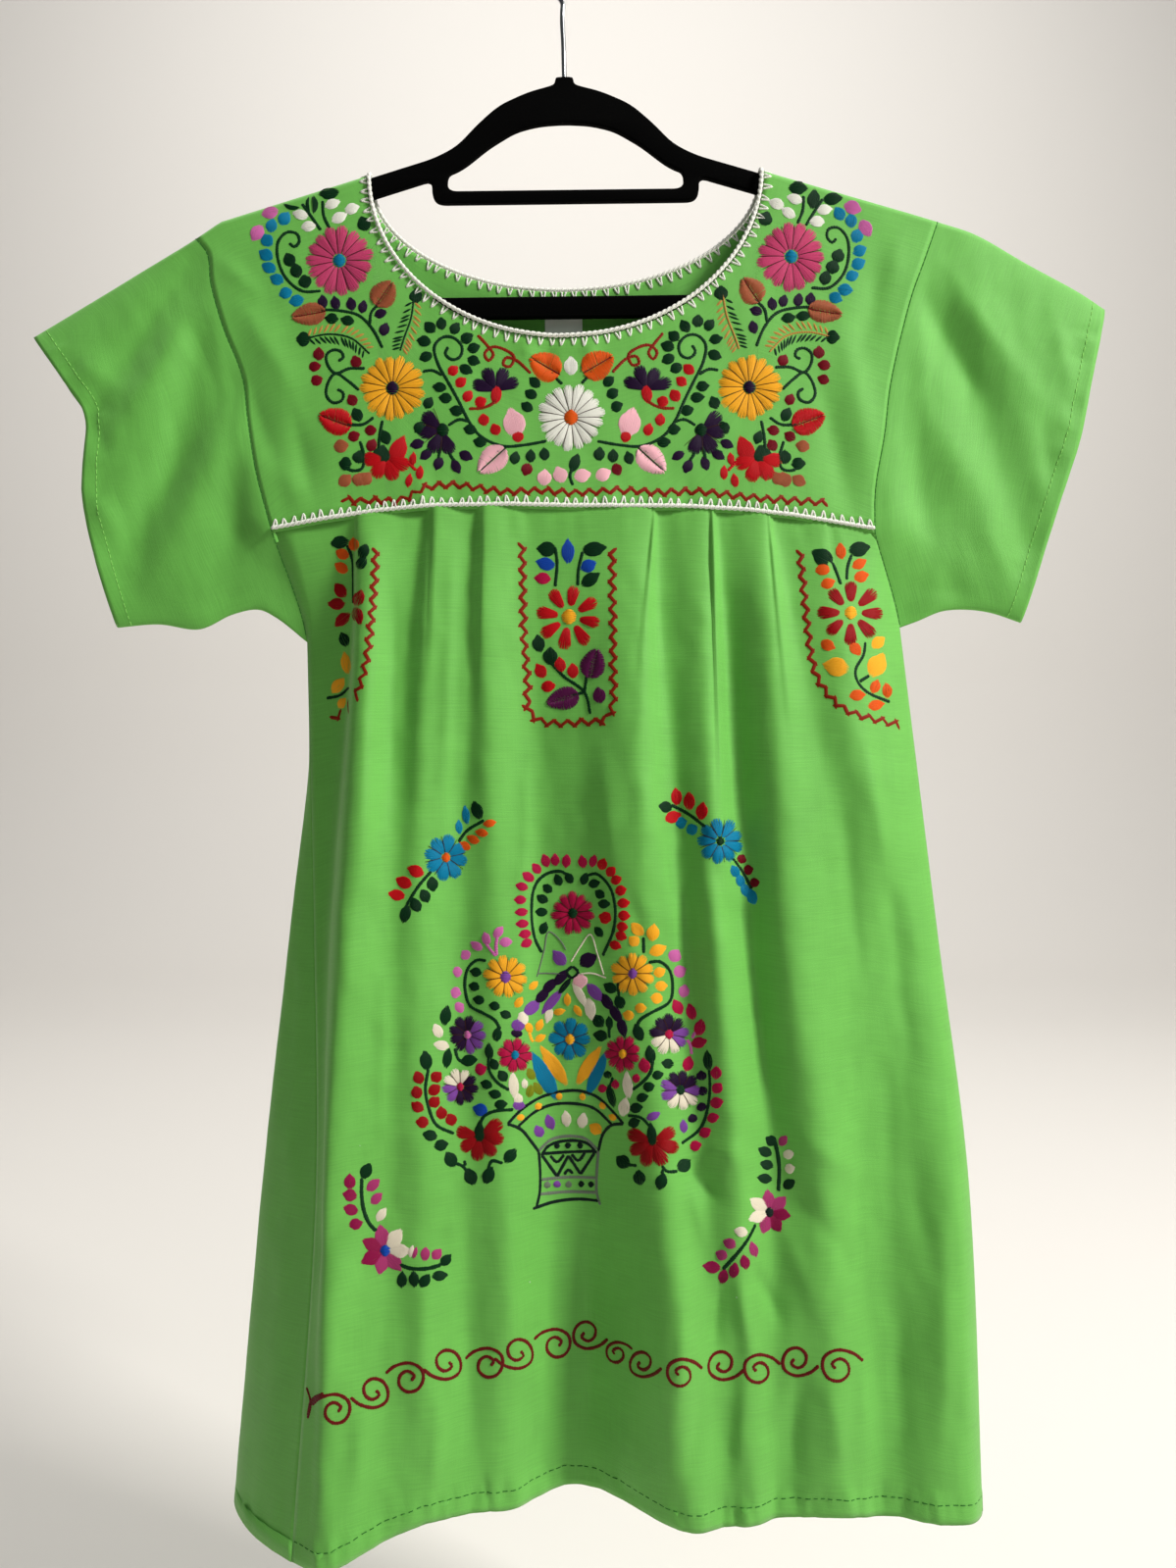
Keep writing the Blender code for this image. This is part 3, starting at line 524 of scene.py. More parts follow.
BOUQUET = (
    Stem("green", ((612, 488), (585, 435), (572, 370), (570, 300), (577, 235), (600, 190),
                   (640, 162), (690, 155), (715, 168))),
    Stem("green", ((800, 172), (835, 165), (868, 188), (897, 230), (912, 290), (914, 350),
                   (903, 410), (885, 452), (863, 500))),
    Row("magenta", 54, 33, ((548, 450, 205), (542, 412, 190), (531, 370, 182), (528, 322, 180),
                            (523, 272, 172), (530, 217, 162), (556, 177, 142), (590, 143, 128),
                            (628, 110, 115), (668, 108, 95), (714, 112, 85), (780, 115, 102),
                            (824, 112, 72))),
    Row("red", 50, 37, ((862, 125, 72), (897, 155, 48), (918, 190, 30), (937, 233, 15),
                        (948, 285, 0), (950, 337, 350), (943, 382, 345), (938, 420, 340),
                        (915, 458, 335))),
    Row("green", 50, 33, ((725, 182, 122), (680, 190, 110), (636, 225, 142), (614, 267, 150),
                          (610, 322, 180), (620, 388, 70), (788, 186, 70), (828, 205, 12),
                          (850, 248, 150), (868, 288, 0), (846, 402, 122))),
    Leaf((872, 345), 54, 47, 160, "red"),
    Flower((740, 326), 90, 11, ("magenta",) * 11, "green", 20, 8),
    Stem("grey", ((712, 478), (690, 440), (641, 402), (622, 480), (592, 588)), 1.5),
    Stem("grey", ((597, 573), (650, 573), (708, 577)), 1.5),
    Stem("cream", ((732, 527), (772, 462), (812, 412), (840, 490), (868, 580)), 1.5),
    Stem("cream", ((772, 575), (820, 573), (878, 592)), 1.5),
    Leaf((684, 510), 76, 48, 130, "violet"),
    Leaf((803, 518), 78, 56, 28, "plum"),
    Stem("ink", ((738, 544), (714, 568), (738, 592), (762, 568), (740, 544))),
    Leaf((690, 592), 88, 36, 228, "plum"),
    Leaf((642, 628), 84, 38, 226, "plum"),
    Leaf((612, 668), 78, 38, 224, "plum"),
    Leaf((568, 716), 86, 46, 218, "violet"),
    Leaf((534, 757), 46, 50, 200, "cream"),
    Leaf((514, 788), 56, 50, 262, "violet"),
    Leaf((509, 820), 34, 42, 262, "plum"),
    Leaf((705, 628), 96, 22, 232, "ink"),
    Leaf((652, 692), 130, 36, 230, "violet"),
    Leaf((641, 745), 66, 30, 255, "cream"),
    Leaf((771, 606), 62, 56, 270, "pale_pink"),
    Leaf((770, 662), 130, 30, 298, "cream"),
    Leaf((812, 722), 92, 42, 280, "cream"),
    Leaf((832, 652), 96, 44, 312, "violet"),
    Leaf((882, 692), 86, 38, 305, "plum"),
    Leaf((918, 742), 92, 38, 300, "plum"),
    Leaf((943, 796), 84, 38, 285, "plum"),
    Flower((463, 588), 90, 10, ("amber",) * 10, "violet", 24, 10),
    Flower((985, 574), 90, 10, ("amber",) * 10, "violet", 20, 0),
    Flower((728, 843), 87, 8, ("turquoise",) * 8, "amber", 21, 20),
    Flower((502, 907), 72, 8, ("magenta",) * 8, "turquoise", 18, 12),
    Flower((945, 903), 76, 9, ("magenta",) * 9, "amber", 18, 0),
    Flower((308, 825), 80, 9, ("plum",) * 5 + ("violet",) * 4, "orchid", 16, 60),
    Flower((278, 1038), 78, 9, ("cream",) * 3 + ("violet",) * 2 + ("plum",) * 4,
           "magenta", 16, 50),
    Flower((1133, 823), 84, 9, ("plum",) * 4 + ("cream",) * 3 + ("violet",) * 2,
           "magenta", 19, 30),
    Flower((1180, 1052), 86, 9, ("plum",) * 3 + ("violet",) * 2 + ("cream",) * 3 + ("violet",),
           "green", 19, 20),
    Stem("green", ((385, 522), (350, 518), (312, 550), (297, 620), (318, 705), (370, 735),
                   (420, 765), (441, 802))),
    Leaf((430, 822), 62, 34, 80, "green"),
    Row("green", 48, 33, ((342, 568, 165), (335, 627, 170), (354, 682, 165), (418, 707, 168),
                          (463, 742, 160))),
    Row("orchid", 58, 34, ((385, 430, 105), (435, 403, 50), (465, 445, 10), (345, 460, 145))),
    Stem("orchid", ((385, 452), (405, 480), (425, 502))),
    Stem("orchid", ((432, 415), (425, 460), (428, 500))),
    Row("orchid", 42, 40, ((300, 497, 130), (267, 567, 10), (260, 652, 350), (275, 712, 30))),
    Row("amber", 50, 27, ((578, 622, 40), (518, 692, 50), (685, 730, 10), (718, 680, 92),
                          (760, 725, 120), (558, 795, 110), (603, 785, 70), (606, 838, 25))),
    Stem("amber", ((560, 815), (568, 840), (576, 856))),
    Leaf((218, 745), 84, 42, 80, "green"),
    Leaf((185, 808), 62, 38, 115, "cream"),
    Leaf((200, 868), 66, 36, 170, "cream"),
    Leaf((225, 920), 84, 35, 80, "green"),
    Stem("green", ((256, 880), (270, 925), (300, 942))),
    Leaf((315, 930), 70, 42, 10, "green"),
    Leaf((397, 893), 70, 32, 95, "green"),
    Row("green", 52, 36, ((417, 945, 120), (385, 1028, 160), (420, 1068, 170), (445, 1110, 5),
                          (452, 993, 130))),
    Stem("green", ((395, 920), (397, 970), (430, 1020), (478, 1052))),
    Leaf((363, 966), 50, 46, 20, "magenta"),
    Leaf((360, 1132), 62, 48, 165, "blue"),
    Leaf((496, 1030), 104, 38, 95, "cream"),
    Leaf((515, 1088), 50, 34, 95, "cream"),
    Leaf((518, 1114), 44, 46, 80, "violet"),
    Leaf((541, 1025), 40, 24, 95, "cream"),
    Row("olive", 56, 32, ((567, 985, 120), (563, 1056, 80), (595, 1045, 120))),
    Leaf((137, 930), 82, 46, 98, "green"),
    Stem("green", ((147, 965), (135, 1050), (150, 1130), (180, 1195), (252, 1230))),
    Row("crimson", 56, 42, ((107, 1000, 110), (100, 1060, 105), (102, 1120, 150), (122, 1183, 170),
                        (180, 997, 40), (172, 1050, 40), (172, 1100, 45), (200, 1145, 100),
                        (240, 1172, 112))),
    Row("green", 62, 43, ((153, 1237, 170), (200, 1277, 12))),
    Flower((360, 1238), 102, 8, ("crimson",) * 6, "", 0, 148, 1.0, 0.12),
    Leaf((357, 1230), 104, 40, 88, "green"),
    Stem("green", ((357, 1200), (375, 1160), (420, 1138), (495, 1132))),
    Row("green", 72, 48, ((238, 1335, 122), (320, 1405, 112), (395, 1400, 60), (483, 1320, 45))),
    Stem("green", ((255, 1350), (290, 1365), (304, 1385))),
    Stem("green", ((296, 1340), (298, 1362))),
    Stem("green", ((392, 1380), (408, 1342), (452, 1352))),
    Flower((1068, 1262), 106, 8, ("crimson",) * 6, "", 0, 140, 1.0, 0.12),
    Leaf((1063, 1235), 104, 36, 95, "green"),
    Stem("green", ((1055, 1200), (1020, 1165), (965, 1155))),
    Row("green", 68, 48, (
        (945, 1345, 140), (1013, 1410, 100), (1103, 1425, 70), (1195, 1360, 35))),
    Stem("green", ((960, 1356), (1003, 1362))),
    Stem("green", ((1105, 1362), (1125, 1385), (1168, 1385))),
    Stem("green", ((1103, 1395), (1112, 1375))),
    Stem("green", ((1050, 528), (1095, 525), (1135, 560), (1148, 630), (1135, 690), (1060, 735),
                   (1015, 765), (1000, 800))),
    Leaf((1008, 815), 72, 42, 112, "green"),
    Row("amber", 50, 40, ((1095, 568, 20), (1102, 625, 10), (1082, 675, 168), (1018, 715, 5),
                          (967, 745, 170), (990, 440, 130))),
    Row("amber", 72, 46, ((1003, 392, 130), (1068, 405, 80), (1088, 478, 25))),
    Stem("green", ((1030, 425), (1030, 490))),
    Row("orchid", 54, 46, ((1157, 500, 60), (1178, 565, 20), (1195, 645, 80))),
    Row("magenta", 66, 42, ((1168, 710, 120), (1225, 730, 100), (1262, 795, 70), (1258, 857, 8),
                            (1212, 943, 80), (1033, 950, 105))),
    Stem("orchid", ((1210, 845), (1222, 870), (1226, 905))),
    Stem("orchid", ((1242, 815), (1228, 838))),
    Row("green", 58, 42, ((932, 690, 115), (893, 632, 150), (845, 768, 120), (853, 828, 170))),
    Stem("green", ((925, 610), (928, 650), (930, 680))),
    Leaf((890, 775), 56, 28, 95, "green"),
    Stem("green", ((888, 790), (890, 838))),
    Leaf((1057, 905), 76, 38, 100, "green"),
    Stem("green", ((1068, 930), (1058, 980), (1020, 1025), (985, 1050))),
    Row("green", 52, 36, ((1127, 943, 170), (1087, 990, 10), (1052, 1038, 8), (1025, 1082, 20),
                          (1000, 1125, 10), (992, 1185, 20))),
    Row("magenta", 38, 32, ((1000, 1003, 80), (915, 1028, 90), (862, 1045, 20))),
    Leaf((965, 1030), 112, 38, 95, "cream"),
    Leaf((951, 1120), 78, 44, 80, "cream"),
    Leaf((897, 1075), 98, 32, 105, "green"),
    Stem("green", ((905, 1000), (888, 1050))),
    Leaf((884, 988), 32, 32, 90, "green"),
    Leaf((1294, 930), 86, 36, 95, "green"),
    Stem("green", ((1300, 970), (1302, 1050), (1290, 1140), (1262, 1210), (1185, 1270))),
    Row("magenta", 54, 40, ((1328, 980, 80), (1333, 1043, 50), (1330, 1103, 20), (1315, 1165, 20),
                            (1283, 1225, 28), (1243, 1280, 12))),
    Row("plum", 40, 38, (
        (1268, 992, 100), (1273, 1055, 120), (1268, 1120, 110), (1230, 1167, 110))),
    Leaf((1193, 1200), 56, 30, 95, "violet"),
    Leaf((1070, 1158), 62, 30, 25, "violet"),
    Leaf((622, 992), 215, 62, 118, "turquoise"),
    Leaf((661, 950), 190, 52, 125, "amber"),
    Leaf((806, 950), 180, 50, 58, "amber"),
    Leaf((840, 982), 200, 46, 66, "turquoise"),
    Stem("ink", ((472, 1190), (530, 1130), (610, 1080), (700, 1056), (770, 1055), (840, 1080),
                 (905, 1140), (948, 1190))),
    Stem("ink", ((515, 1200), (585, 1140), (660, 1110), (760, 1108), (830, 1128), (900, 1192))),
    Stem("ink", ((472, 1190), (525, 1212), (570, 1265), (600, 1305))),
    Stem("ink", ((948, 1190), (900, 1195), (865, 1230), (845, 1300))),
    Stem("ink", ((600, 1305), (605, 1400), (603, 1470), (590, 1530))),
    Stem("ink", ((575, 1538), (660, 1510), (760, 1498), (852, 1506))),
    Stem("grey", ((845, 1300), (838, 1400), (838, 1470), (852, 1522))),
    Stem("grey", ((600, 1300), (650, 1255), (720, 1240), (790, 1250), (840, 1295))),
    Stem("ink", ((610, 1320), (640, 1280), (720, 1258), (800, 1270), (838, 1310))),
    Row("ink", 26, 22, ((675, 1280, 0), (720, 1278, 0), (770, 1278, 0), (775, 1436, 0),
                        (815, 1438, 0))),
    Stem("ink", ((615, 1312), (720, 1305), (835, 1302))),
    Stem("ink", ((612, 1318), (675, 1405))),
    Stem("ink", ((675, 1405), (722, 1320))),
    Stem("ink", ((722, 1320), (772, 1396))),
    Stem("ink", ((772, 1396), (830, 1308))),
    Stem("ink", ((647, 1320), (675, 1347), (704, 1316))),
    Stem("ink", ((735, 1314), (762, 1341), (790, 1308))),
    Stem("ink", ((704, 1396), (722, 1378), (740, 1394))),
    Stem("grey", ((612, 1418), (720, 1408), (838, 1411))),
    Stem("grey", ((606, 1478), (720, 1468), (838, 1471))),
    Row("grey", 28, 24, ((635, 1440, 80), (722, 1438, 90))),
    Leaf((675, 1437), 30, 28, 80, "violet"),
    Row("amber", 34, 24, ((525, 1163, 20), (598, 1118, 40), (684, 1076, 90), (780, 1078, 90),
                          (862, 1115, 120), (903, 1163, 150))),
    Leaf((600, 1220), 54, 38, 120, "violet"),
    Leaf((645, 1182), 66, 38, 112, "violet"),
    Leaf((713, 1168), 66, 36, 97, "cream"),
    Leaf((780, 1176), 62, 40, 80, "cream"),
    Leaf((833, 1210), 58, 44, 145, "amber"),
)

LOWER_STEPS = 4.75
LOWER_LEFT_CORNER = (300, 1150)
LOWER_RIGHT_CORNER = (580, 1150)

LOWER_LEFT_SPRIG = (
    Stem("green", ((326, 245), (325, 320), (335, 395), (360, 460), (395, 500)), 3.9),
    Leaf((348, 208), 84, 54, 62, "green"),
    Row("berry", 72, 52, ((268, 260, 95), (268, 326, 170), (272, 396, 165), (298, 466, 10))),
    Leaf((382, 276), 82, 46, 42, "mauve"),
    Leaf((398, 342), 74, 42, 45, "mauve"),
    Leaf((422, 420), 76, 38, 55, "cream"),
    Flower((440, 594), 125, 7, ("cream", "mauve", "berry", "berry", "mauve", "mauve",
                                "cream"), "blue", 27, 26, 1.0, 0.14, 0.6),
    Stem("green", ((498, 655), (560, 680), (640, 682), (710, 664)), 3.9),
    Leaf((734, 640), 72, 44, 48, "green"),
    Row("mauve", 68, 42, ((634, 610, 85), (690, 612, 50))),
    Leaf((584, 604), 60, 22, 75, "mauve"),
    Leaf((567, 598), 60, 22, 75, "cream"),
    Row("green", 76, 44, ((522, 735, 92), (580, 732, 92), (632, 740, 60), (704, 716, 8))),
)

LOWER_RIGHT_SPRIG = (
    Stem("green", ((995, 60), (1008, 110), (1018, 190), (1014, 305)), 3.9),
    Leaf((978, 62), 62, 48, 150, "green"),
    Row("green", 70, 46, ((948, 115, 160), (956, 178, 172), (946, 245, 175), (1066, 272, 28))),
    Leaf((1038, 62), 58, 38, 55, "mauve"),
    Row("cream", 52, 46, ((1064, 128, 20), (1070, 197, 5))),
    Flower((970, 408), 110, 7, ("berry", "mauve", "mauve", "cream", "cream", "mauve",
                                "berry"), "ink", 22, -34, 1.0, 0.14, 0.6),
    Stem("green", ((902, 470), (862, 545), (805, 620), (745, 685)), 3.9),
    Leaf((832, 503), 68, 46, 165, "cream"),
    Row("mauve", 66, 48, ((777, 560, 150), (738, 615, 155))),
    Leaf((690, 674), 86, 54, 172, "berry"),
    Row("berry", 76, 46, ((748, 718, 78), (800, 690, 85), (851, 650, 108))),
    Leaf((893, 588), 78, 40, 108, "mauve"),
)

# The curls over the hem, from the left: each one's middle, its half width, whether its line comes
# from the left (1) or the right (-1), and whether it comes over (1) or under (-1)
HEM_CURLS = (
    (343, 1438, 13, 1, 1), (382, 1419, 13, 1, -1), (418, 1406, 13, 1, 1), (456, 1390, 13, 1, -1),
    (499, 1391, 13, 1, 1), (529, 1379, 13, 1, -1), (568, 1371, 12.5, 1, 1),
    (597, 1360, 12, -1, -1), (628, 1380, 9, -1, 1), (654, 1390, 11, -1, -1),
    (693, 1401, 12, -1, 1),
    (735, 1391, 12.5, -1, -1), (772, 1397, 12.5, -1, 1), (811, 1387, 12.5, -1, -1),
    (853, 1394, 14, -1, 1),
)
HEM_END = (((313, 1415), (317, 1430), (314, 1446)), ((314, 1443), (318, 1428), (330, 1421)))
# One curl's line, in half widths from its middle: forward, then up
CURL_LINE = ((-1.9, 0.45), (-1.2, 1.0), (0.0, 1.25), (0.9, 0.75), (1.02, -0.1), (0.55, -0.85),
             (-0.25, -1.0), (-0.85, -0.45), (-0.75, 0.3), (-0.2, 0.62), (0.35, 0.25), (0.1, -0.12))


class Fold(NamedTuple):
    """One line down a skirt panel, a ridge or a valley, at the seam, arm, waist, hip and hem."""

    name: str
    x: tuple
    out: tuple
    hem_z: float


FRONT_FOLDS = (
    Fold("side_left", (-173.5, -156, -150, -143, -152), (13, 0, 8, 34, 55), -953),
    Fold("valley_0", (-127, -128, -140, -138, -142), (15, 11, 14, 41, 61), -953),
    Fold("ridge_1", (-121, -119, -127, -133, -131), (19, 27, 42, 52, 66), -952),
    Fold("valley_1", (-84, -91, -99, -100, -95), (16, 20, 35, 41, 52), -941),
    Fold("ridge_2", (-77, -79, -84, -80, -74), (20, 27, 36, 42, 46), -936),
    Fold("valley_2", (-53, -57, -59, -56, -49), (17, 20, 27, 34, 38), -936),
    Fold("ridge_3", (-47, -45, -38, -33, -30), (20.5, 28, 31, 36, 34), -937),
    Fold("valley_3", (-22, -21, -14, -7, 1), (18, 21, 24, 21, 15), -935),
    Fold("centre", (6, 6, 10, 19, 23), (19, 22, 26, 24, 17), -936),
    Fold("ridge_4", (53, 47, 48, 59, 75), (20.5, 28, 38, 47, 47), -942),
    Fold("valley_4", (58, 60, 72, 80, 96), (17, 20, 29, 38, 40), -943),
    Fold("ridge_5", (87, 87, 90, 102, 112), (20, 30, 43, 44, 41), -942),
    Fold("valley_5", (94, 98, 111, 123, 129), (16, 20, 30, 31, 32), -942),
    Fold("ridge_6", (121, 122, 132, 153, 161), (19, 30, 41, 42, 39), -939),
    Fold("valley_6", (128, 139, 169, 177, 191), (15, 21, 28, 33, 33), -943),
    Fold("ridge_7", (158, 166, 193, 205, 215), (15.5, 22, 25, 31, 38), -943),
    Fold("ridge_8", (176, 188, 212, 228, 235), (14, 14, 19, 26, 34), -944),
    Fold("side_right", (187.4, 206, 227, 244.5, 250), (13, 0, 7, 12, 20), -946),
)

BACK_FOLDS = (
    Fold("side_left", (-173.5, -156, -150, -143, -152), (-11, 0, 8, 34, 55), -953),
    Fold("turn_a", (-169, -154.5, -161, -166, -183), (-11.5, -4, 1, 17, 30), -951),
    Fold("turn_b", (-162, -150, -168, -184, -200), (-12, -10, -7, -4, -2), -948),
    Fold("ridge_1", (-150, -142, -148, -166, -178), (-13.5, -17, -22, -24, -30), -946),
    Fold("valley_1", (-126, -124, -124, -134, -144), (-12.5, -14, -15, -15, -13), -945),
    Fold("ridge_2", (-96, -97, -97, -104, -110), (-16.5, -23, -29, -32, -38), -944),
    Fold("valley_2", (-90, -82, -73, -76, -78), (-13.5, -16, -18, -18, -20), -943),
    Fold("ridge_3", (-52, -50, -44, -40, -40), (-17, -23, -31, -36, -42), -944),
    Fold("valley_3", (-46, -30, -16, -8, -6), (-14, -17, -19, -20, -22), -943),
    Fold("centre", (10, 12, 16, 22, 30), (-16.5, -21, -25, -27, -31), -943),
    Fold("valley_4", (60, 52, 52, 58, 66), (-14, -17, -18, -18, -18), -943),
    Fold("ridge_4", (66, 72, 80, 90, 102), (-17, -24, -31, -36, -40), -944),
    Fold("valley_5", (98, 102, 114, 126, 138), (-13.5, -16, -17, -20, -22), -943),
    Fold("ridge_5", (104, 122, 144, 160, 174), (-16, -23, -28, -32, -36), -944),
    Fold("valley_6", (140, 150, 172, 190, 204), (-12.5, -14, -15, -16, -14), -944),
    Fold("ridge_6", (162, 180, 204, 224, 232), (-12.5, -17, -19, -21, -25), -945),
    Fold("turn_right", (179, 202, 224, 243, 248), (-11.5, -8, -4, -3, -6), -946),
    Fold("side_right", (187.4, 206, 227, 244.5, 250), (-11, 0, 7, 12, 20), -946),
)

# The yoke seam and the level of the arms, as height at places across the dress
SEAM_LINE = ((-174, -363), (-142, -357.5), (-110, -353), (-75, -350), (-31, -349.5),
             (6, -350.5), (74, -350.5), (110, -352.5), (139, -355.5), (188, -363))
ARM_LINE = ((-156, -427), (207, -418))


class Sleeve(NamedTuple):
    """The edges of one sleeve in the front view, as (x, z): the armhole's part on the yoke and
    the cuff run down from the ridge, the top and the underside run out from the armhole. out is
    the way that the sleeve goes along X, and seed starts its random draws."""

    out: int
    seed: int
    armhole: tuple
    cuff: tuple
    top: tuple
    under: tuple
    valleys: tuple


class Valley(NamedTuple):
    """A soft valley down a sleeve, from one (way out, way down) to another."""

    start: tuple
    end: tuple
    deep: float
    wide: float


SLEEVES = {
    "left": Sleeve(
        out=-1,
        seed=4,
        armhole=((-223.5, -181), (-215, -192), (-213, -209), (-205, -237), (-193, -268),
                 (-190, -292), (-184, -325), (-173.5, -363)),
        cuff=((-323, -241), (-302, -270), (-290, -289), (-290, -340), (-283, -378), (-272, -418)),
        top=((-223.5, -181), (-273, -211), (-323, -241)),
        under=((-156, -427), (-175, -412), (-186, -407), (-202, -410), (-222, -419),
               (-247, -416), (-272, -418)),
        valleys=(Valley((0.0, 0.06), (0.85, 0.85), 4.0, 0.10),
                 Valley((0.0, 0.42), (0.45, 1.0), 3.0, 0.09)),
    ),
    "right": Sleeve(
        out=1,
        seed=5,
        armhole=((228.3, -170.5), (220, -194), (211, -219), (198, -272), (194, -302),
                 (188, -336), (187.4, -363)),
        cuff=((331, -224), (320.5, -270), (313, -306), (301.5, -342), (291, -378), (280, -415)),
        top=((228.3, -170.5), (251, -178), (283, -196), (316, -214), (331, -224)),
        under=((206, -418), (217, -414), (232, -408), (247, -407), (262, -409), (280, -415)),
        valleys=(Valley((0.0, 0.10), (0.9, 0.75), 4.0, 0.10),
                 Valley((0.0, 0.36), (0.5, 1.0), 3.0, 0.09)),
    ),
}


class Pleat(NamedTuple):
    """A fold's edge that the seam holds: the cloth on one side of it steps down, and the step
    fades from the top pixel to the foot pixel. side is 1 where the right of it is the lower."""

    top: tuple
    foot: tuple
    step: float
    reach: float
    side: int


FRONT_PLEATS = (
    Pleat((492, 519), (486, 730), 2.4, 8.0, -1),
    Pleat((441, 512), (436, 690), 2.8, 12.0, -1),
    Pleat((361, 530), (352, 640), 3.0, 9.0, 1),
    Pleat((667, 519), (649, 700), 3.0, 16.0, -1),
    Pleat((725, 521), (734, 830), 6.0, 20.0, -1),
    Pleat((783, 526), (804, 760), 2.6, 16.0, -1),
    Pleat((843, 531), (850, 620), 2.4, 7.0, 1),
)

BACK_PLEATS = (
    Pleat((413, 527), (404, 720), 2.8, 11.0, 1),
    Pleat((486, 526), (494, 700), 2.4, 10.0, 1),
    Pleat((548, 527), (545, 640), 1.6, 8.0, -1),
    Pleat((620, 527), (628, 660), 1.8, 9.0, 1),
    Pleat((684, 527), (692, 760), 3.0, 12.0, -1),
    Pleat((748, 530), (764, 700), 2.5, 10.0, -1),
    Pleat((842, 540), (858, 640), 1.6, 8.0, -1),
)

# Creases of the cloth: each is a soft ridge, or a trough where its height is negative, between
# two pixels of the photograph, with its height and its width
FRONT_CREASES = (
    ((694, 1240), (690, 1530), 3.4, 24), ((600, 1230), (596, 1520), -3.4, 24),
    ((478, 570), (470, 780), 2.0, 8), ((1002, 980), (1024, 1580), 6.5, 34),
    ((905, 940), (918, 1580), -4.8, 30), ((372, 700), (352, 1080), 2.6, 17),
    ((312, 740), (298, 1080), -2.6, 16), ((655, 650), (650, 960), 2.4, 25),
    ((545, 650), (538, 960), -2.4, 25), ((800, 1300), (806, 1520), 2.4, 16),
    ((752, 1290), (748, 1520), -2.4, 14), ((430, 1330), (424, 1530), 2.4, 18),
    ((380, 560), (372, 900), 2.0, 7), ((462, 560), (452, 860), 1.6, 6),
    ((745, 620), (768, 920), -2.4, 22), ((842, 600), (886, 940), 3.0, 32),
    ((538, 770), (530, 1090), 1.3, 6), ((612, 760), (628, 900), 1.6, 7),
    ((660, 800), (700, 1040), 1.4, 8), ((400, 600), (396, 840), -1.3, 6),
    ((300, 1000), (290, 1180), 1.3, 7), ((392, 1000), (388, 1150), 1.1, 6),
    ((716, 830), (748, 960), -1.6, 7), ((640, 900), (668, 1010), -1.1, 6),
    ((758, 930), (790, 1150), -2.0, 7), ((880, 760), (905, 900), 1.8, 8),
    ((850, 770), (880, 1000), -1.2, 7), ((905, 880), (930, 1080), -1.4, 8),
    ((700, 1190), (735, 1225), -1.6, 6), ((716, 1170), (760, 1180), 1.4, 6),
    ((704, 1205), (716, 1260), 1.7, 6), ((735, 1300), (728, 1370), -1.7, 5),
    ((752, 1300), (764, 1380), 1.5, 5), ((765, 1290), (795, 1345), -1.4, 5),
    ((786, 1230), (832, 1330), 1.6, 9), ((806, 1210), (868, 1290), -1.5, 9),
    ((812, 1160), (880, 1200), 1.2, 8), ((700, 1300), (690, 1430), 1.6, 7),
    ((672, 1330), (680, 1500), 1.8, 8), ((712, 1420), (704, 1500), -1.3, 6),
    ((760, 1410), (752, 1500), 1.4, 6), ((812, 1400), (806, 1520), -2.2, 8),
    ((846, 1420), (860, 1500), 1.5, 8), ((880, 1380), (884, 1510), 1.3, 6),
    ((920, 1340), (924, 1480), -1.2, 8), ((960, 1250), (962, 1460), 1.3, 7),
    ((930, 1180), (950, 1290), -1.2, 9), ((420, 1130), (370, 1180), 1.2, 7),
    ((428, 1060), (372, 1080), -1.0, 7), ((350, 1300), (330, 1420), 1.6, 8),
    ((357, 1238), (309, 1306), -1.5, 7), ((344, 1296), (322, 1380), 1.3, 8),
    ((430, 1300), (436, 1420), 1.2, 7), ((372, 1420), (360, 1540), 1.6, 7),
    ((448, 1420), (442, 1530), 1.5, 6), ((474, 1270), (478, 1500), -1.4, 10),
    ((520, 1240), (524, 1400), 1.2, 7), ((545, 1420), (540, 1520), -1.4, 6),
    ((600, 1260), (604, 1480), -1.5, 8), ((640, 1420), (645, 1510), 1.3, 6),
    ((290, 1360), (270, 1540), -1.4, 7),
)

BACK_CREASES = (
    ((330, 560), (322, 900), 1.8, 7), ((402, 555), (392, 820), -1.6, 6),
    ((440, 560), (430, 880), 1.4, 7), ((520, 555), (512, 760), 1.7, 6),
    ((548, 620), (560, 980), -1.4, 8), ((610, 560), (620, 800), 1.5, 6),
    ((660, 640), (650, 1010), -1.7, 8), ((700, 560), (716, 900), 1.6, 7),
    ((770, 560), (790, 780), -1.3, 6), ((830, 600), (852, 960), 1.8, 8),
    ((890, 760), (912, 1060), -1.5, 8), ((372, 980), (352, 1240), 1.5, 9),
    ((430, 1100), (420, 1380), -1.7, 9), ((505, 1050), (498, 1330), 1.4, 8),
    ((590, 1140), (600, 1440), 1.7, 10), ((646, 1200), (640, 1500), -1.5, 8),
    ((730, 1080), (748, 1360), 1.5, 9), ((806, 1160), (820, 1500), -1.8, 9),
    ((880, 1100), (902, 1400), 1.6, 8), ((940, 1240), (950, 1480), -1.3, 7),
    ((330, 1350), (312, 1540), 1.4, 8), ((470, 1420), (460, 1530), 1.3, 7),
    ((700, 1430), (712, 1530), -1.4, 7),
)

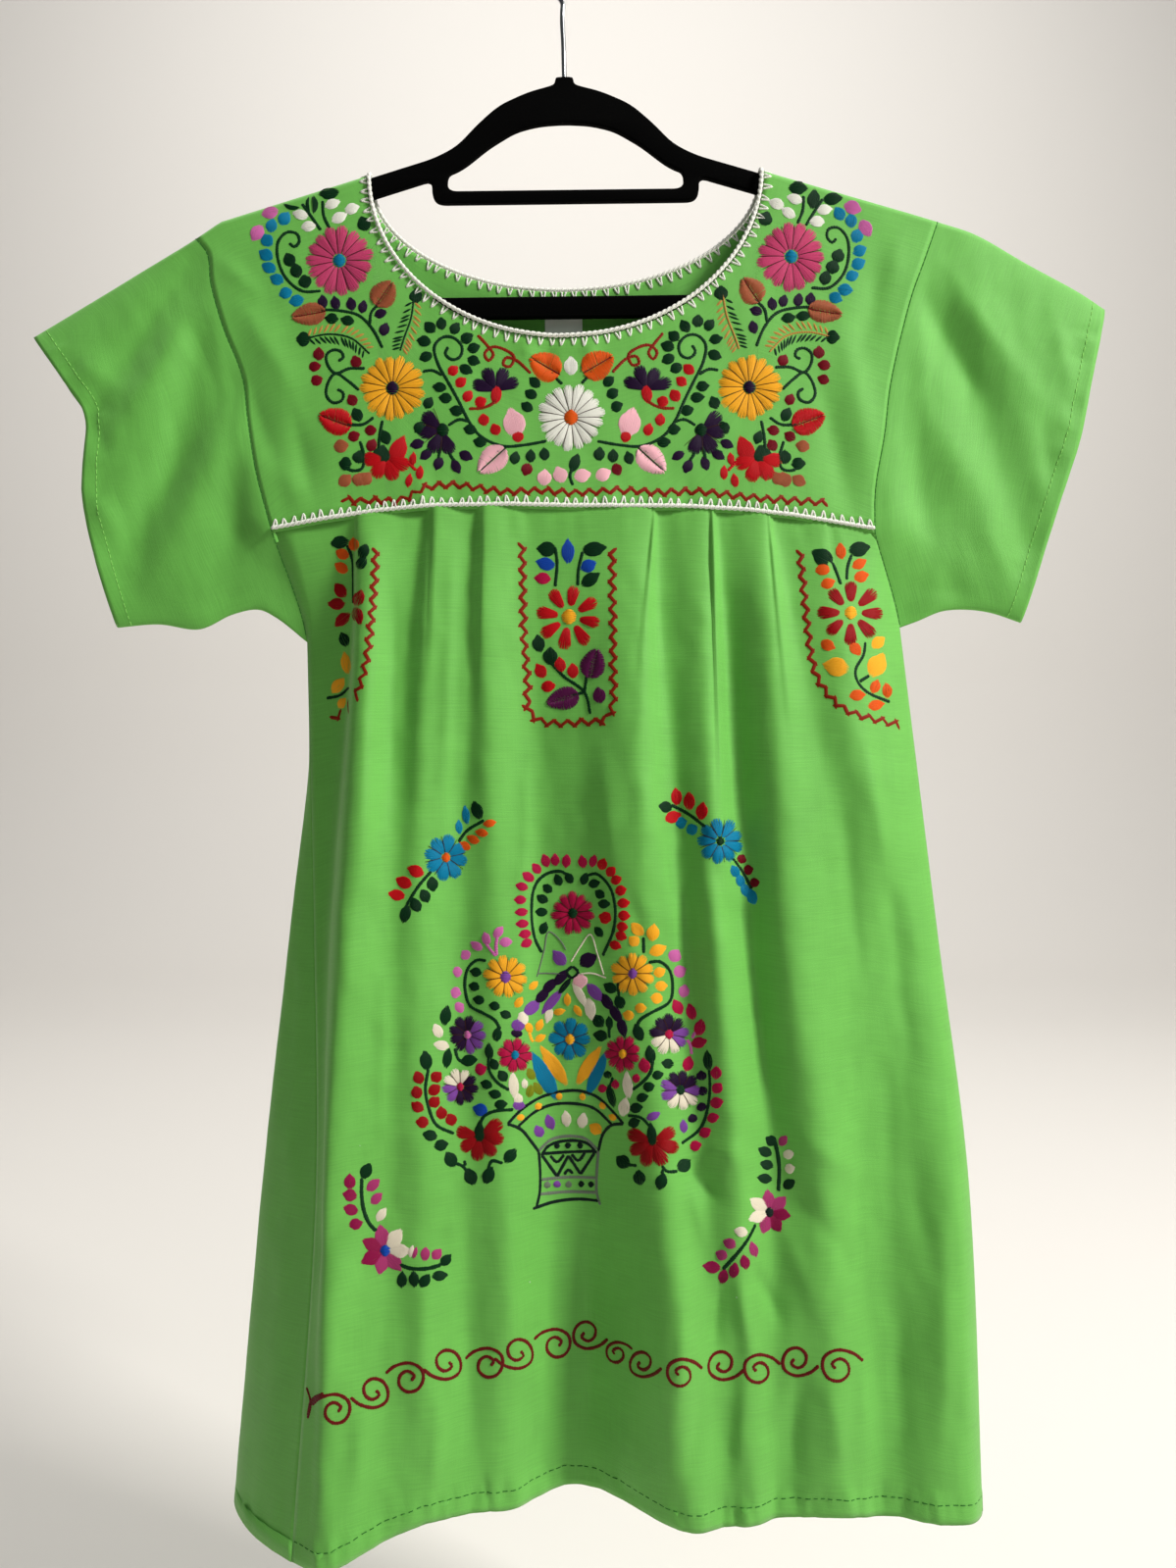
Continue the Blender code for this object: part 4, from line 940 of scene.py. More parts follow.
YOKE_CREASES = (
    ((240, 300), (300, 400), 1.3, 9), ((236, 350), (290, 500), -1.2, 9),
    ((222, 262), (262, 300), 1.2, 6), ((268, 470), (330, 520), 1.3, 8),
    ((300, 430), (322, 520), -1.1, 7), ((430, 495), (430, 515), 1.2, 5),
    ((465, 490), (462, 514), -1.0, 5), ((540, 350), (536, 365), 0.8, 4),
    ((560, 352), (558, 372), -0.8, 4), ((600, 350), (604, 370), 0.7, 4),
    ((620, 495), (622, 518), 1.0, 5), ((700, 498), (702, 516), -1.0, 5),
    ((860, 340), (890, 480), 1.4, 10), ((900, 260), (880, 360), -1.2, 9),
    ((840, 400), (868, 520), -1.2, 8), ((916, 240), (905, 300), 1.0, 7),
)

SLEEVE_CREASES = (
    ((192, 268), (86, 428), -2.0, 10), ((216, 296), (112, 456), 2.0, 11),
    ((232, 388), (116, 575), -1.7, 10), ((258, 412), (146, 600), 1.7, 11),
    ((270, 560), (215, 600), 1.5, 7), ((262, 600), (200, 622), -1.4, 6),
    ((90, 420), (112, 470), -1.2, 6), ((88, 500), (120, 540), 1.2, 6),
    ((80, 370), (130, 400), 1.2, 8), ((940, 300), (1010, 420), -2.2, 9),
    ((960, 270), (1050, 400), 1.8, 10), ((925, 400), (1010, 520), 1.2, 12),
    ((908, 515), (985, 596), 2.2, 13), ((1000, 520), (1030, 600), 1.3, 8),
    ((1060, 420), (1078, 500), -1.2, 7), ((1075, 320), (1090, 400), 1.1, 7),
    ((930, 600), (990, 606), -1.3, 6),
)


def plane(at):
    """A pixel's place (x, z) on the hanger's middle plane."""
    return np.array(((at[0] - SEAT_AT[0]) * PIXEL, (SEAT_AT[1] - at[1]) * PIXEL))


def seen(points):
    """Where the camera sees points on the hanger's middle plane, as rows of (x, z)."""
    eye = plane((PHOTO_WIDE / 2, PHOTO_TALL / 2))
    nearer = EYE_BACK / (EYE_BACK + points[..., 1:2])
    return eye + (points[..., (0, 2)] - eye) * nearer


def from_line(spots, start, end):
    """For each spot: its share of the way along a line, and how far to the right of it."""
    run = end - start
    off = spots - start
    share = off @ run / (run @ run)
    right = (off[..., 1] * run[0] - off[..., 0] * run[1]) / math.hypot(*run)
    return share, right


def pleats_out(pleats, spots):
    """How far the pleats' steps drop the cloth at each spot."""
    out = np.zeros(spots.shape[:-1])
    for pleat in pleats:
        share, right = from_line(spots, plane(pleat.top), plane(pleat.foot))
        away = right * pleat.side + PLEAT_EDGE / 2
        rise = np.clip(away / PLEAT_EDGE, 0, 1)
        fade = np.clip(1 - np.maximum(share, 0), 0, 1) ** PLEAT_FADE
        opened = np.clip(PLEAT_HELD + PLEAT_OPENS * share, 0, 1)
        out -= pleat.step * opened * fade * rise * np.exp(-np.maximum(away, 0) / pleat.reach)
    return out


def creases_out(creases, spots):
    """How far the creases move the cloth out at each spot."""
    out = np.zeros(spots.shape[:-1])
    for first, last, high, wide in creases:
        start = plane(first)
        end = plane(last)
        share = np.clip(from_line(spots, start, end)[0], 0, 1)
        away = np.linalg.norm(spots - start - share[..., None] * (end - start), axis=-1)
        fade = CREASE_ENDS + (1 - CREASE_ENDS) * np.sin(np.pi * share)
        out += CREASE_GAIN * high * fade * np.exp(-(away / wide) ** CREASE_POWER)
    return out


def rumpled(spots, seed):
    """How far the cloth's own soft unevenness moves it out at each spot."""
    found = [sum(high * noise.noise(Vector((x / wide, z / tall, seed)))
                 for high, wide, tall in RUMPLES) for x, z in spots.reshape(-1, 2)]
    return np.array(found).reshape(spots.shape[:-1])


def drawn_up(seed, ends, edge_py, deep, draws):
    """Small uneven creases, in pixels, that a line of sewing draws up along a cloth's edge."""
    pick = random.Random(seed)
    found = []
    px = ends[0]
    while px < ends[1]:
        foot = (px, edge_py(px))
        head = (px + pick.uniform(*DRAWN_LEAN), foot[1] - deep - pick.uniform(*DRAWN_TALL))
        high = pick.choice((-1, 1)) * pick.uniform(*DRAWN_HIGH) * draws
        found.append((head, foot, high, pick.uniform(*DRAWN_WIDE)))
        px += pick.uniform(*DRAWN_EVERY)
    return found


def rolled(x, z):
    """A point of the upright hanger, turned about the hook's seat as it hangs."""
    turn_cos = math.cos(HANGER_ROLL)
    turn_sin = math.sin(HANGER_ROLL)
    return x * turn_cos - z * turn_sin, x * turn_sin + z * turn_cos


def between(table, at):
    """The height at a place across, on straight lines through the table's points."""
    if at <= table[0][0]:
        return table[0][1]
    for (x0, z0), (x1, z1) in zip(table, table[1:]):
        if at <= x1:
            return z0 + (z1 - z0) * (at - x0) / (x1 - x0)
    return table[-1][1]


def smooth_between(keys, values, at):
    """The value at a key, on a cubic that runs smoothly through all the values."""
    def slope(first, last):
        return (values[last] - values[first]) / (keys[last] - keys[first])

    end = len(keys) - 1
    i = min(max(bisect.bisect_left(keys, at) - 1, 0), end - 1)
    wide = keys[i + 1] - keys[i]
    step = slope(i, i + 1)
    m0 = slope(max(i - 1, 0), i + 1)
    m1 = slope(i, min(i + 2, end))
    t = (at - keys[i]) / wide
    return (values[i] + t * wide * m0 + t * t * wide * (3 * step - 2 * m0 - m1)
            + t * t * t * wide * (m0 + m1 - 2 * step))


def span_point(p0, p1, p2, p3, t):
    """A point between p1 and p2 on the centripetal curve through all four."""
    t0 = 0.0
    t1 = t0 + max((p1 - p0).length, 1e-6) ** 0.5
    t2 = t1 + max((p2 - p1).length, 1e-6) ** 0.5
    t3 = t2 + max((p3 - p2).length, 1e-6) ** 0.5
    at = t1 + t * (t2 - t1)
    a1 = p0.lerp(p1, (at - t0) / (t1 - t0))
    a2 = p1.lerp(p2, (at - t1) / (t2 - t1))
    a3 = p2.lerp(p3, (at - t2) / (t3 - t2))
    b1 = a1.lerp(a2, (at - t0) / (t2 - t0))
    b2 = a2.lerp(a3, (at - t1) / (t3 - t1))
    return b1.lerp(b2, (at - t1) / (t2 - t1))


def through(knots, before, after, per_span):
    """Points along a smooth curve through the knots, with a point beyond each end to lead it.
    per_span is how many there are between two knots, for all spans or for each."""
    line = [before, *knots, after]
    counts = [per_span] * (len(knots) - 1) if isinstance(per_span, int) else per_span
    points = []
    for i, count in enumerate(counts, 1):
        for k in range(count):
            points.append(span_point(*line[i - 1:i + 3], k / count))
    points.append(knots[-1])
    return points


def smooth_line(knots, per_span):
    """Points along a smooth curve through the knots, led straight on past both ends."""
    return through(knots, knots[0] * 2 - knots[1], knots[-1] * 2 - knots[-2], per_span)


class Line:
    """A line of points, asked for what is some length along it."""

    def __init__(self, points):
        self.points = points
        self.lengths = [0.0]
        for a, b in zip(points, points[1:]):
            self.lengths.append(self.lengths[-1] + (b - a).length)
        self.long = self.lengths[-1]

    def next(self, want):
        """Which of the points comes next after this length."""
        return min(max(bisect.bisect_left(self.lengths, want), 1), len(self.points) - 1)

    def at(self, want):
        i = self.next(want)
        gap = max(self.lengths[i] - self.lengths[i - 1], 1e-9)
        return self.points[i - 1].lerp(self.points[i], (want - self.lengths[i - 1]) / gap)

    def at_share(self, share):
        return self.at(min(max(share, 0.0), 1.0) * self.long)

    def aside(self, want):
        """The way to the right of a line on a chart, at this length."""
        i = self.next(want)
        run = (self.points[i] - self.points[i - 1]).normalized()
        return Vector((-run.y, run.x))


def curve(knots):
    return Line(smooth_line([Vector(knot) for knot in knots], CURVE_PARTS))


def spaced(points, every):
    """Points at even steps along a line of points, ends included."""
    line = Line(points)
    steps = max(1, round(line.long / every))
    return [line.at(line.long * k / steps) for k in range(steps + 1)]


def arm_ridge_z(x):
    """The height of the fold over the hanger's arms, level across the neck."""
    off = x - NECK_MIDDLE_X
    run = max(abs(off) - ARM_START_X, 0.0)
    return NECK_RIDGE_Z - run * ARM_SLOPE + off * math.sin(HANGER_ROLL)


def ridge_z(x):
    """The height of the cloth's fold over the shoulders, dropping past the arms' ends."""
    for sleeve in SLEEVES.values():
        tip_x, tip_z = sleeve.armhole[0]
        end_x = sleeve.out * ARM_TIP_X + NECK_MIDDLE_X
        if abs(x) > abs(end_x) and x * tip_x > 0:
            end_z = arm_ridge_z(end_x)
            return end_z + (tip_z - end_z) * (x - end_x) / (tip_x - end_x)
    return arm_ridge_z(x)


def yoke_out(x, z, face):
    """How far the yoke stands off the middle plane: rounded over the arm, then leaning out."""
    edge, middle = LEAN_FRONT if face > 0 else LEAN_BACK
    lean = middle + (edge - middle) * min(1.0, (x / LEAN_HALF) ** 2)
    down = ridge_z(x) - z
    if down < TINY:
        return 0.0
    bend = min(down, RIDGE_ROUND)
    rounded = math.sqrt(max(RIDGE_ROUND ** 2 - (RIDGE_ROUND - bend) ** 2, 0.0))
    return face * (rounded + lean * (down - bend))


def seam_point(x):
    return Vector((x, between(SEAM_LINE, x)))


def neck_point(angle, face):
    """A point of the neckline, turned by the angle from its left end."""
    drop = FRONT_DROP if face > 0 else BACK_DROP
    x = NECK_MIDDLE_X - NECK_HALF * math.cos(angle)
    return Vector((x, arm_ridge_z(x) - drop * math.sin(angle)))


def neck_angle(down, face):
    """The angle at which the neckline is this far below the ridge."""
    return math.asin(down / (FRONT_DROP if face > 0 else BACK_DROP))


def yoke_shares():
    """How far down the armhole each row of the yoke starts, close together over the ridge."""
    return [(k / YOKE_ROWS) ** YOKE_ROW_POWER for k in range(YOKE_ROWS + 1)]


def shoulder_block(side, face):
    """Rows of one shoulder, from the ridge to the seam, each from the armhole inwards. The inner
    edge follows the neckline for the first rows and then runs straight to the seam."""
    armhole = curve(SLEEVES[side].armhole)
    tip = armhole.at_share(0)
    foot = seam_point(armhole.at_share(1).x)
    inner_foot = seam_point(SEAM_LEFT_X if side == "left" else SEAM_RIGHT_X)
    shares = yoke_shares()
    deep = shares[SHELF_ROW]
    neck_x = NECK_MIDDLE_X + math.copysign(NECK_HALF, tip.x)
    grid = []
    for share in shares:
        outer = armhole.at_share(share)
        angle = neck_angle(SHELF_DOWN * min(share / deep, 1.0), face)
        inner = neck_point(angle if side == "left" else math.pi - angle, face)
        if share > deep:
            inner = inner.lerp(inner_foot, (share - deep) / (1 - deep))
        row = []
        for k in range(SHOULDER_COLUMNS + 1):
            across = k / SHOULDER_COLUMNS
            flat = outer.lerp(inner, across)
            top_x = tip.x + (neck_x - tip.x) * across
            straight_top = tip.y + (ridge_z(neck_x) - tip.y) * across
            straight_seam = foot.lerp(inner_foot, across)
            flat.y += (ridge_z(top_x) - straight_top) * (1 - share)
            flat.y += (seam_point(straight_seam.x).y - straight_seam.y) * share
            row.append(flat)
        grid.append(row)
    return grid


def neck_block(face):
    """Rows below the neckline, from it to the seam, each from left to right."""
    shares = yoke_shares()
    deep = shares[SHELF_ROW]
    first = neck_angle(SHELF_DOWN, face)
    grid = []
    for share in shares[SHELF_ROW:]:
        row = []
        for i in range(NECK_COLUMNS + 1):
            across = i / NECK_COLUMNS
            top = neck_point(first + (math.pi - 2 * first) * across, face)
            foot = seam_point(SEAM_LEFT_X + (SEAM_RIGHT_X - SEAM_LEFT_X) * across)
            row.append(top.lerp(foot, (share - deep) / (1 - deep)))
        grid.append(row)
    return grid


def yoke_grids(face):
    """The three blocks of the front or back of the yoke, creased."""
    blocks = {"left": shoulder_block("left", face), "neck": neck_block(face),
              "right": shoulder_block("right", face)}
    creases = YOKE_CREASES if face > 0 else YOKE_CREASES[::2]
    grids = {}
    for name, grid in blocks.items():
        points = np.array([[(p.x, -yoke_out(p.x, p.y, face), p.y) for p in row] for row in grid])
        settled = np.clip(-points[..., 1] * face / RIDGE_ROUND - YOKE_CALM, 0, 1)
        spots = seen(points)
        move = creases_out(creases, spots) + YOKE_RUMPLE * rumpled(spots, 2 + face)
        points[..., 1] -= face * settled * move
        grids[name] = points
    return grids


def level_height(s, x_top, x_arm, hem_z):
    """The height of a skirt's level s on a line that starts at these places."""
    levels = (between(SEAM_LINE, x_top), between(ARM_LINE, x_arm), WAIST_Z, HIP_Z, hem_z)
    i = min(int(s), len(levels) - 2)
    return levels[i] + (levels[i + 1] - levels[i]) * (s - i)


def fold_point(fold, s):
    """Where a fold line is at level s, as (x, out). Below the arm, the two panels' side lines
    are one seam, so the armhole's part above it doesn't bend them."""
    top = 1 if s >= 1 and fold.name.startswith("side") else 0
    ends = fold.x[0], fold.x[1], fold.hem_z
    keys = [-level_height(k, *ends) for k in range(top, len(fold.x))]
    down = -level_height(s, *ends)
    return Vector((smooth_between(keys, fold.x[top:], down),
                   smooth_between(keys, fold.out[top:], down)))


def skirt_row(folds, other, s, per_span):
    """The (x, out) of one row of a skirt panel. The other panel's folds lead it round the side."""
    knots = [fold_point(fold, s) for fold in folds]
    share = min(s, 1.0)
    before = (knots[0] * 2 - knots[1]).lerp(fold_point(other[1], s), share)
    after = (knots[-1] * 2 - knots[-2]).lerp(fold_point(other[-2], s), share)
    return through(knots, before, after, per_span)


def skirt_levels():
    """The levels of a skirt's rows: closer together towards the underarm."""
    first = [1 - (1 - k / LEVEL_ROWS[0]) ** ARM_ROW_POWER for k in range(LEVEL_ROWS[0])]
    rest = [i + k / rows for i, rows in enumerate(LEVEL_ROWS[1:], 1) for k in range(rows)]
    return [*first, *rest, float(len(LEVEL_ROWS))]


def skirt_grid(folds, other, face):
    """Rows of a skirt panel, from the yoke seam to the hem, creased."""
    waist = [fold_point(fold, 2.5) for fold in folds]
    counts = [max(4, round((b - a).length / COLUMN_EVERY)) for a, b in zip(waist, waist[1:])]
    hems = through([Vector((fold.hem_z, 0)) for fold in folds],
                   Vector((other[1].hem_z, 0)), Vector((other[-2].hem_z, 0)), counts)
    tops = skirt_row(folds, other, 0, counts)
    arms = skirt_row(folds, other, 1, counts)
    rows = []
    for s in skirt_levels():
        flats = skirt_row(folds, other, s, counts)
        rows.append([(flat.x, -flat.y, level_height(s, tops[i].x, arms[i].x, hems[i].x))
                     for i, flat in enumerate(flats)])
    points = np.array(rows)
    spots = seen(points) if face > 0 else points[..., (0, 2)]
    move = creases_out(drawn_on_skirt(spots[-1], face), spots)
    if face > 0:
        move += creases_out(FRONT_CREASES, spots) + pleats_out(FRONT_PLEATS, spots)
    else:
        move += creases_out(BACK_CREASES, spots) + pleats_out(BACK_PLEATS, spots)
    across = np.linspace(0, 1, points.shape[1])
    calm = np.clip(np.minimum(across, 1 - across) * SIDE_CALM, 0, 1)
    low = np.clip(np.arange(len(points)) / SEAM_CALM, 0, 1)[:, None]
    points[..., 1] -= face * (move + rumpled(spots, 6 + face) * low) * calm
    return points


def drawn_on_skirt(hem, face):
    """The small creases along a skirt panel's hem, given as a row of (x, z), and its yoke seam."""
    hem_px = hem[:, 0] / PIXEL + SEAT_AT[0]
    hem_py = SEAT_AT[1] - hem[:, 1] / PIXEL
    order = np.argsort(hem_px)

    def hem_at(px):
        return float(np.interp(px, hem_px[order], hem_py[order]))

    def seam_at(px):
        seam_z = between(SEAM_LINE, (px - SEAT_AT[0]) * PIXEL)
        return SEAT_AT[1] - seam_z / PIXEL + SEAM_DRAWN_DOWN

    ends = (hem_px.min() + 4, hem_px.max() - 4)
    return [*drawn_up(3 - face, ends, hem_at, HEM_DEEP / PIXEL, HEM_DRAWS),
            *drawn_up(9 - face, SEAM_DRAWN, seam_at, 0, SEAM_DRAWS)]


def armhole_edge(side, yoke, skirt):
    """The body's edge that one layer of a sleeve is sewn to, from the ridge to the underarm."""
    column = 0 if side == "left" else -1
    return np.concatenate([yoke[side][:, 0], skirt[1:LEVEL_ROWS[0] + 1, column]])


def sleeve_layer(sleeve, curves, step, downs, body, face):
    """One layer's points at a step out from the armhole, from the ridge to the underarm."""
    cuff, top, under = curves
    on_top, on_under = (line.at_share(step) - line.points[0].lerp(line.points[-1], step)
                        for line in (top, under))
    layer = []
    for down, held in zip(downs, body):
        end = cuff.at_share(down)
        if face < 0:
            longer = CUFF_BACK_LONGER * math.sin(math.pi * min(1.0, 1.5 * down))
            end.x += sleeve.out * longer
        flat = Vector((held[0], held[2])).lerp(end, step) + on_top.lerp(on_under, down)
        layer.append((flat.x, -sleeve_out(sleeve, step, down, face, -held[1]), flat.y))
    return layer


def sleeve_grid(side, yokes, skirts):
    """Rows of a sleeve, out from the armhole: each is a loop down the front and up the back. The
    first row turns in under the body's edge, as a sewn seam does."""
    sleeve = SLEEVES[side]
    curves = curve(sleeve.cuff), curve(sleeve.top), curve(sleeve.under)
    bodies = {face: armhole_edge(side, yokes[face], skirts[face]) for face in (FRONT, BACK)}
    runs = np.linalg.norm(np.diff(bodies[FRONT], axis=0), axis=1)
    downs = np.concatenate([[0], np.cumsum(runs)]) / runs.sum()
    rows = []
    for k in range(SLEEVE_STEPS + 1):
        step = (k / SLEEVE_STEPS) ** SLEEVE_STEP_POWER
        front, back = (sleeve_layer(sleeve, curves, step, downs, body, face)
                       for face, body in bodies.items())
        rows.append(front + back[-2:0:-1])
    points = np.array(rows)
    spots = seen(points)
    creases = creases_out([*SLEEVE_CREASES, *drawn_on_cuff(sleeve, curves[0])], spots)
    behind = creases_out(SLEEVE_CREASES[1::2], points[..., (0, 2)] + SLEEVE_BACK_SHIFT)
    settled = np.clip(np.linspace(0, SLEEVE_CALM, len(points)), 0, 1)[:, None]
    rim = np.sqrt(np.maximum(np.sin(np.pi * downs), 0))
    around = np.concatenate([rim, rim[-2:0:-1]])
    faces = np.where(np.arange(points.shape[1]) < len(downs), FRONT, BACK)
    move = np.where(faces > 0, creases, behind) + rumpled(spots, sleeve.seed)
    points[..., 1] -= faces * move * around * settled
    tuck = points[0] - (sleeve.out * TUCK * 0.6, 0, 0)
    tuck[:, 1] += faces * TUCK_DEEP * around
    points[0, :, 1] += faces * EDGE_DEEP * around
    return np.concatenate([tuck[None], points])


def drawn_on_cuff(sleeve, cuff):
    """Short creases that the cuff's sewing draws up, on the plane's pixels."""
    pick = random.Random(sleeve.seed)
    found = []
    share = 0.06
    while share < 0.95:
        end = cuff.at_share(share)
        foot = (SEAT_AT[0] + end.x / PIXEL, SEAT_AT[1] - end.y / PIXEL)
        head = (foot[0] - sleeve.out * pick.uniform(*CUFF_DRAWN_LONG),
                foot[1] + pick.uniform(*CUFF_DRAWN_LEAN))
        high = pick.choice((-1, 1)) * pick.uniform(*CUFF_DRAWN_HIGH)
        found.append((head, foot, high, pick.uniform(*CUFF_DRAWN_WIDE)))
        share += pick.uniform(*CUFF_DRAWN_EVERY)
    return found


def sleeve_out(sleeve, step, down, face, held_out):
    """How far a sleeve layer stands off the middle plane: the body's at the armhole, and a
    lens further out, with the soft valleys pressed in."""
    round_down = math.sin(math.pi * min(max(down, 0.0), 1.0))
    free = min(1.0, step / SLEEVE_FREE)
    free = free * free * (3 - 2 * free)
    out = held_out + (face * SLEEVE_FULL * round_down ** SLEEVE_ROUND - held_out) * free
    for valley in sleeve.valleys:
        off = Vector((step, down)) - Vector(valley.start)
        run = Vector(valley.end) - Vector(valley.start)
        away = (off - run * min(max(off.dot(run) / run.dot(run), 0.0), 1.0)).length
        press = valley.deep * math.exp(-(away / valley.wide) ** 2) * min(1.0, step / VALLEY_STARTS)
        out -= face * press * math.sqrt(max(round_down, 0.0))
    return out


def tucked_top(grid, face):
    """A skirt panel with rows added above its seam, turned in behind the yoke."""
    over = grid[0] + (0, face * TUCK_DEEP, 0)
    high = over + (0, face * 0.4, TUCK * 1.6)
    return np.concatenate([high[None], over[None], grid[1:]])


def hemmed(grid, face):
    """A skirt panel with its hem turned up inside: the last row folds back up the inner side."""
    run = grid[-2] - grid[-1]
    up = run / np.linalg.norm(run, axis=-1, keepdims=True)
    turn = grid[-1] + (0, face * HEM_TURN, 0)
    inner = grid[-1] + up * HEM_DEEP + (0, face * HEM_INSIDE, 0)
    return np.concatenate([grid, turn[None], inner[None]])


def grain_of(points):
    """Each point's place on the flat cloth: how far across and how far down it, in millimetres."""
    flat = np.zeros_like(points)
    flat[:, 1:, 0] = np.cumsum(np.linalg.norm(np.diff(points, axis=1), axis=-1), axis=1)
    flat[..., 0] -= flat[..., 0].mean(axis=1, keepdims=True)
    flat[1:, :, 1] = np.cumsum(np.linalg.norm(np.diff(points, axis=0), axis=-1), axis=0)
    return flat


def skin(build, rows, looped=False):
    """Faces between each row of verts and the next."""
    for upper, lower in zip(rows, rows[1:]):
        for i in range(len(upper) - (0 if looped else 1)):
            j = (i + 1) % len(upper)
            build.faces.new((upper[i], lower[i], lower[j], upper[j]))


def add_wall(made, thick):
    wall = made.modifiers.new("wall", "SOLIDIFY")
    wall.thickness = thick * MM
    return wall


def cloth(name, grids, looped, finish, replaced):
    """A thin cloth shell from grids of points in millimetres, joined where edges coincide. Its
    point attribute "grain" holds each point's place on the flat cloth."""
    mesh = bpy.data.meshes.new(name)
    build = bmesh.new()
    grain = build.verts.layers.float_vector.new("grain")
    for points in grids:
        rows = []
        for row, places in zip(points, grain_of(points)):
            rows.append([build.verts.new(Vector(point) * MM) for point in row])
            for vert, place in zip(rows[-1], places):
                vert[grain] = Vector(place)
        skin(build, rows, looped)
    bmesh.ops.remove_doubles(build, verts=build.verts, dist=WELD)
    bmesh.ops.recalc_face_normals(build, faces=build.faces)
    build.to_mesh(mesh)
    build.free()
    mesh.shade_smooth()
    made = piece(name, mesh, [finish], "green_cotton", replaced)
    add_wall(made, THICK).offset = 0.0
    return made


def linked(name, data):
    made = bpy.data.objects.new(name, data)
    bpy.context.scene.collection.objects.link(made)
    return made


def piece(name, mesh, finishes, slot, *replaced):
    """A new piece of the dress: it rides on the body and stands for the CAD nodes named."""
    for finish in finishes:
        mesh.materials.append(finish)
    made = linked(name, mesh)
    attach(made, "root")
    if replaced:
        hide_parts(*replaced)
    return made


class Nodes:
    """A material's node tree, with short calls to add nodes and join them."""

    def __init__(self, name, colour, **settings):
        self.made = bpy.data.materials.new(name)
        self.made.use_nodes = True
        self.made.diffuse_color = (*colour, 1.0)
        self.tree = self.made.node_tree
        self.shader = self.tree.nodes["Principled BSDF"]
        self.shader.inputs["Base Color"].default_value = (*colour, 1.0)
        for socket, value in settings.items():
            self.shader.inputs[SHADER_SOCKETS[socket]].default_value = value

    def add(self, kind, inputs=(), **settings):
        """A node, with settings of its own and values or links for its inputs by name."""
        node = self.tree.nodes.new("ShaderNode" + kind)
        for name, value in settings.items():
            setattr(node, name, value)
        for name, value in dict(inputs).items():
            if isinstance(value, bpy.types.NodeSocket):
                self.tree.links.new(value, node.inputs[name])
            else:
                node.inputs[name].default_value = value
        return node

    def shade_with(self, socket, source):
        self.tree.links.new(source, self.shader.inputs[socket])

    def math(self, operation, first, second=0.0, clamp=False):
        inputs = {0: first, 1: second}
        return self.add("Math", inputs, operation=operation, use_clamp=clamp).outputs[0]

    def blend(self, first, first_share, second, second_share):
        """The sum of two sources, each times its share."""
        return self.math("ADD", self.math("MULTIPLY", first, first_share),
                         self.math("MULTIPLY", second, second_share))

    def noise(self, vector, scale, detail=2.0, stretch=(1, 1, 1)):
        """Noise from 0 to 1 over a vector, stretched by a factor on each axis."""
        spread = self.add("Mapping", {"Vector": vector, "Scale": stretch}).outputs[0]
        inputs = {"Vector": spread, "Scale": scale, "Detail": detail}
        return self.add("TexNoise", inputs).outputs[0]

    def mix(self, factor, low, high):
        """A colour from a factor of 0 to 1, between two colours."""
        inputs = {0: factor, 6: low, 7: high}
        return self.add("Mix", inputs, data_type="RGBA").outputs[2]

    def shade(self, factor, colour, low, high):
        """The base colour from a factor of 0 to 1, between two strengths of a colour."""
        mixed = self.mix(factor, scaled(colour, low), scaled(colour, high))
        self.shade_with("Base Color", mixed)
        return mixed

    def bump(self, height, distance, strength):
        inputs = {"Height": height, "Distance": distance, "Strength": strength}
        self.shade_with("Normal", self.add("Bump", inputs).outputs[0])

    def split(self, attribute):
        """A point attribute's vector, and its first two numbers."""
        vector = self.add("Attribute", attribute_name=attribute).outputs["Vector"]
        return vector, *self.add("SeparateXYZ", {0: vector}).outputs[:2]


def scaled(colour, factor):
    return (*(channel * factor for channel in colour), 1.0)


def cotton(name, colour, thread_mm, slub):
    """Plain-weave cotton: fine threads both ways, thicker crosswise slubs, a little lint and a
    soft sheen."""
    nodes = Nodes(name, colour, roughness=0.62, sheen=0.35, sheen_roughness=0.45,
                  sheen_tint=(0.75, 1.0, 0.6, 1.0), specular=0.35)
    grain, across, down = nodes.split("grain")
    turns = 2 * math.pi / thread_mm
    warp = nodes.math("SINE", nodes.math("MULTIPLY", across, turns))
    weft = nodes.math("SINE", nodes.math("MULTIPLY", down, turns))
    slubs = nodes.noise(grain, 1.0, 3.0, (0.045, 1.3, 1))
    ends = nodes.noise(grain, 1.0, 2.0, (1.3, 0.03, 1))
    worn = nodes.noise(grain, 0.035, 3.0)
    tone = nodes.blend(nodes.blend(slubs, 0.6, ends, 0.25), 1.1, worn, 0.35)
    plain = nodes.shade(nodes.math("SUBTRACT", tone, 0.15, clamp=True), colour, 0.74, 1.2)
    lint = nodes.add("TexVoronoi", {"Scale": 0.02, "Vector": grain}, feature="F1")
    speck = nodes.math("LESS_THAN", lint.outputs["Distance"], 0.012)
    specked = nodes.mix(nodes.math("MULTIPLY", speck, 0.5), plain, (0.55, 0.62, 0.5, 1.0))
    nodes.shade_with("Base Color", specked)
    nodes.bump(nodes.blend(nodes.math("MULTIPLY", warp, weft), 0.25, slubs, slub), 0.00016, 0.7)
    return nodes.made


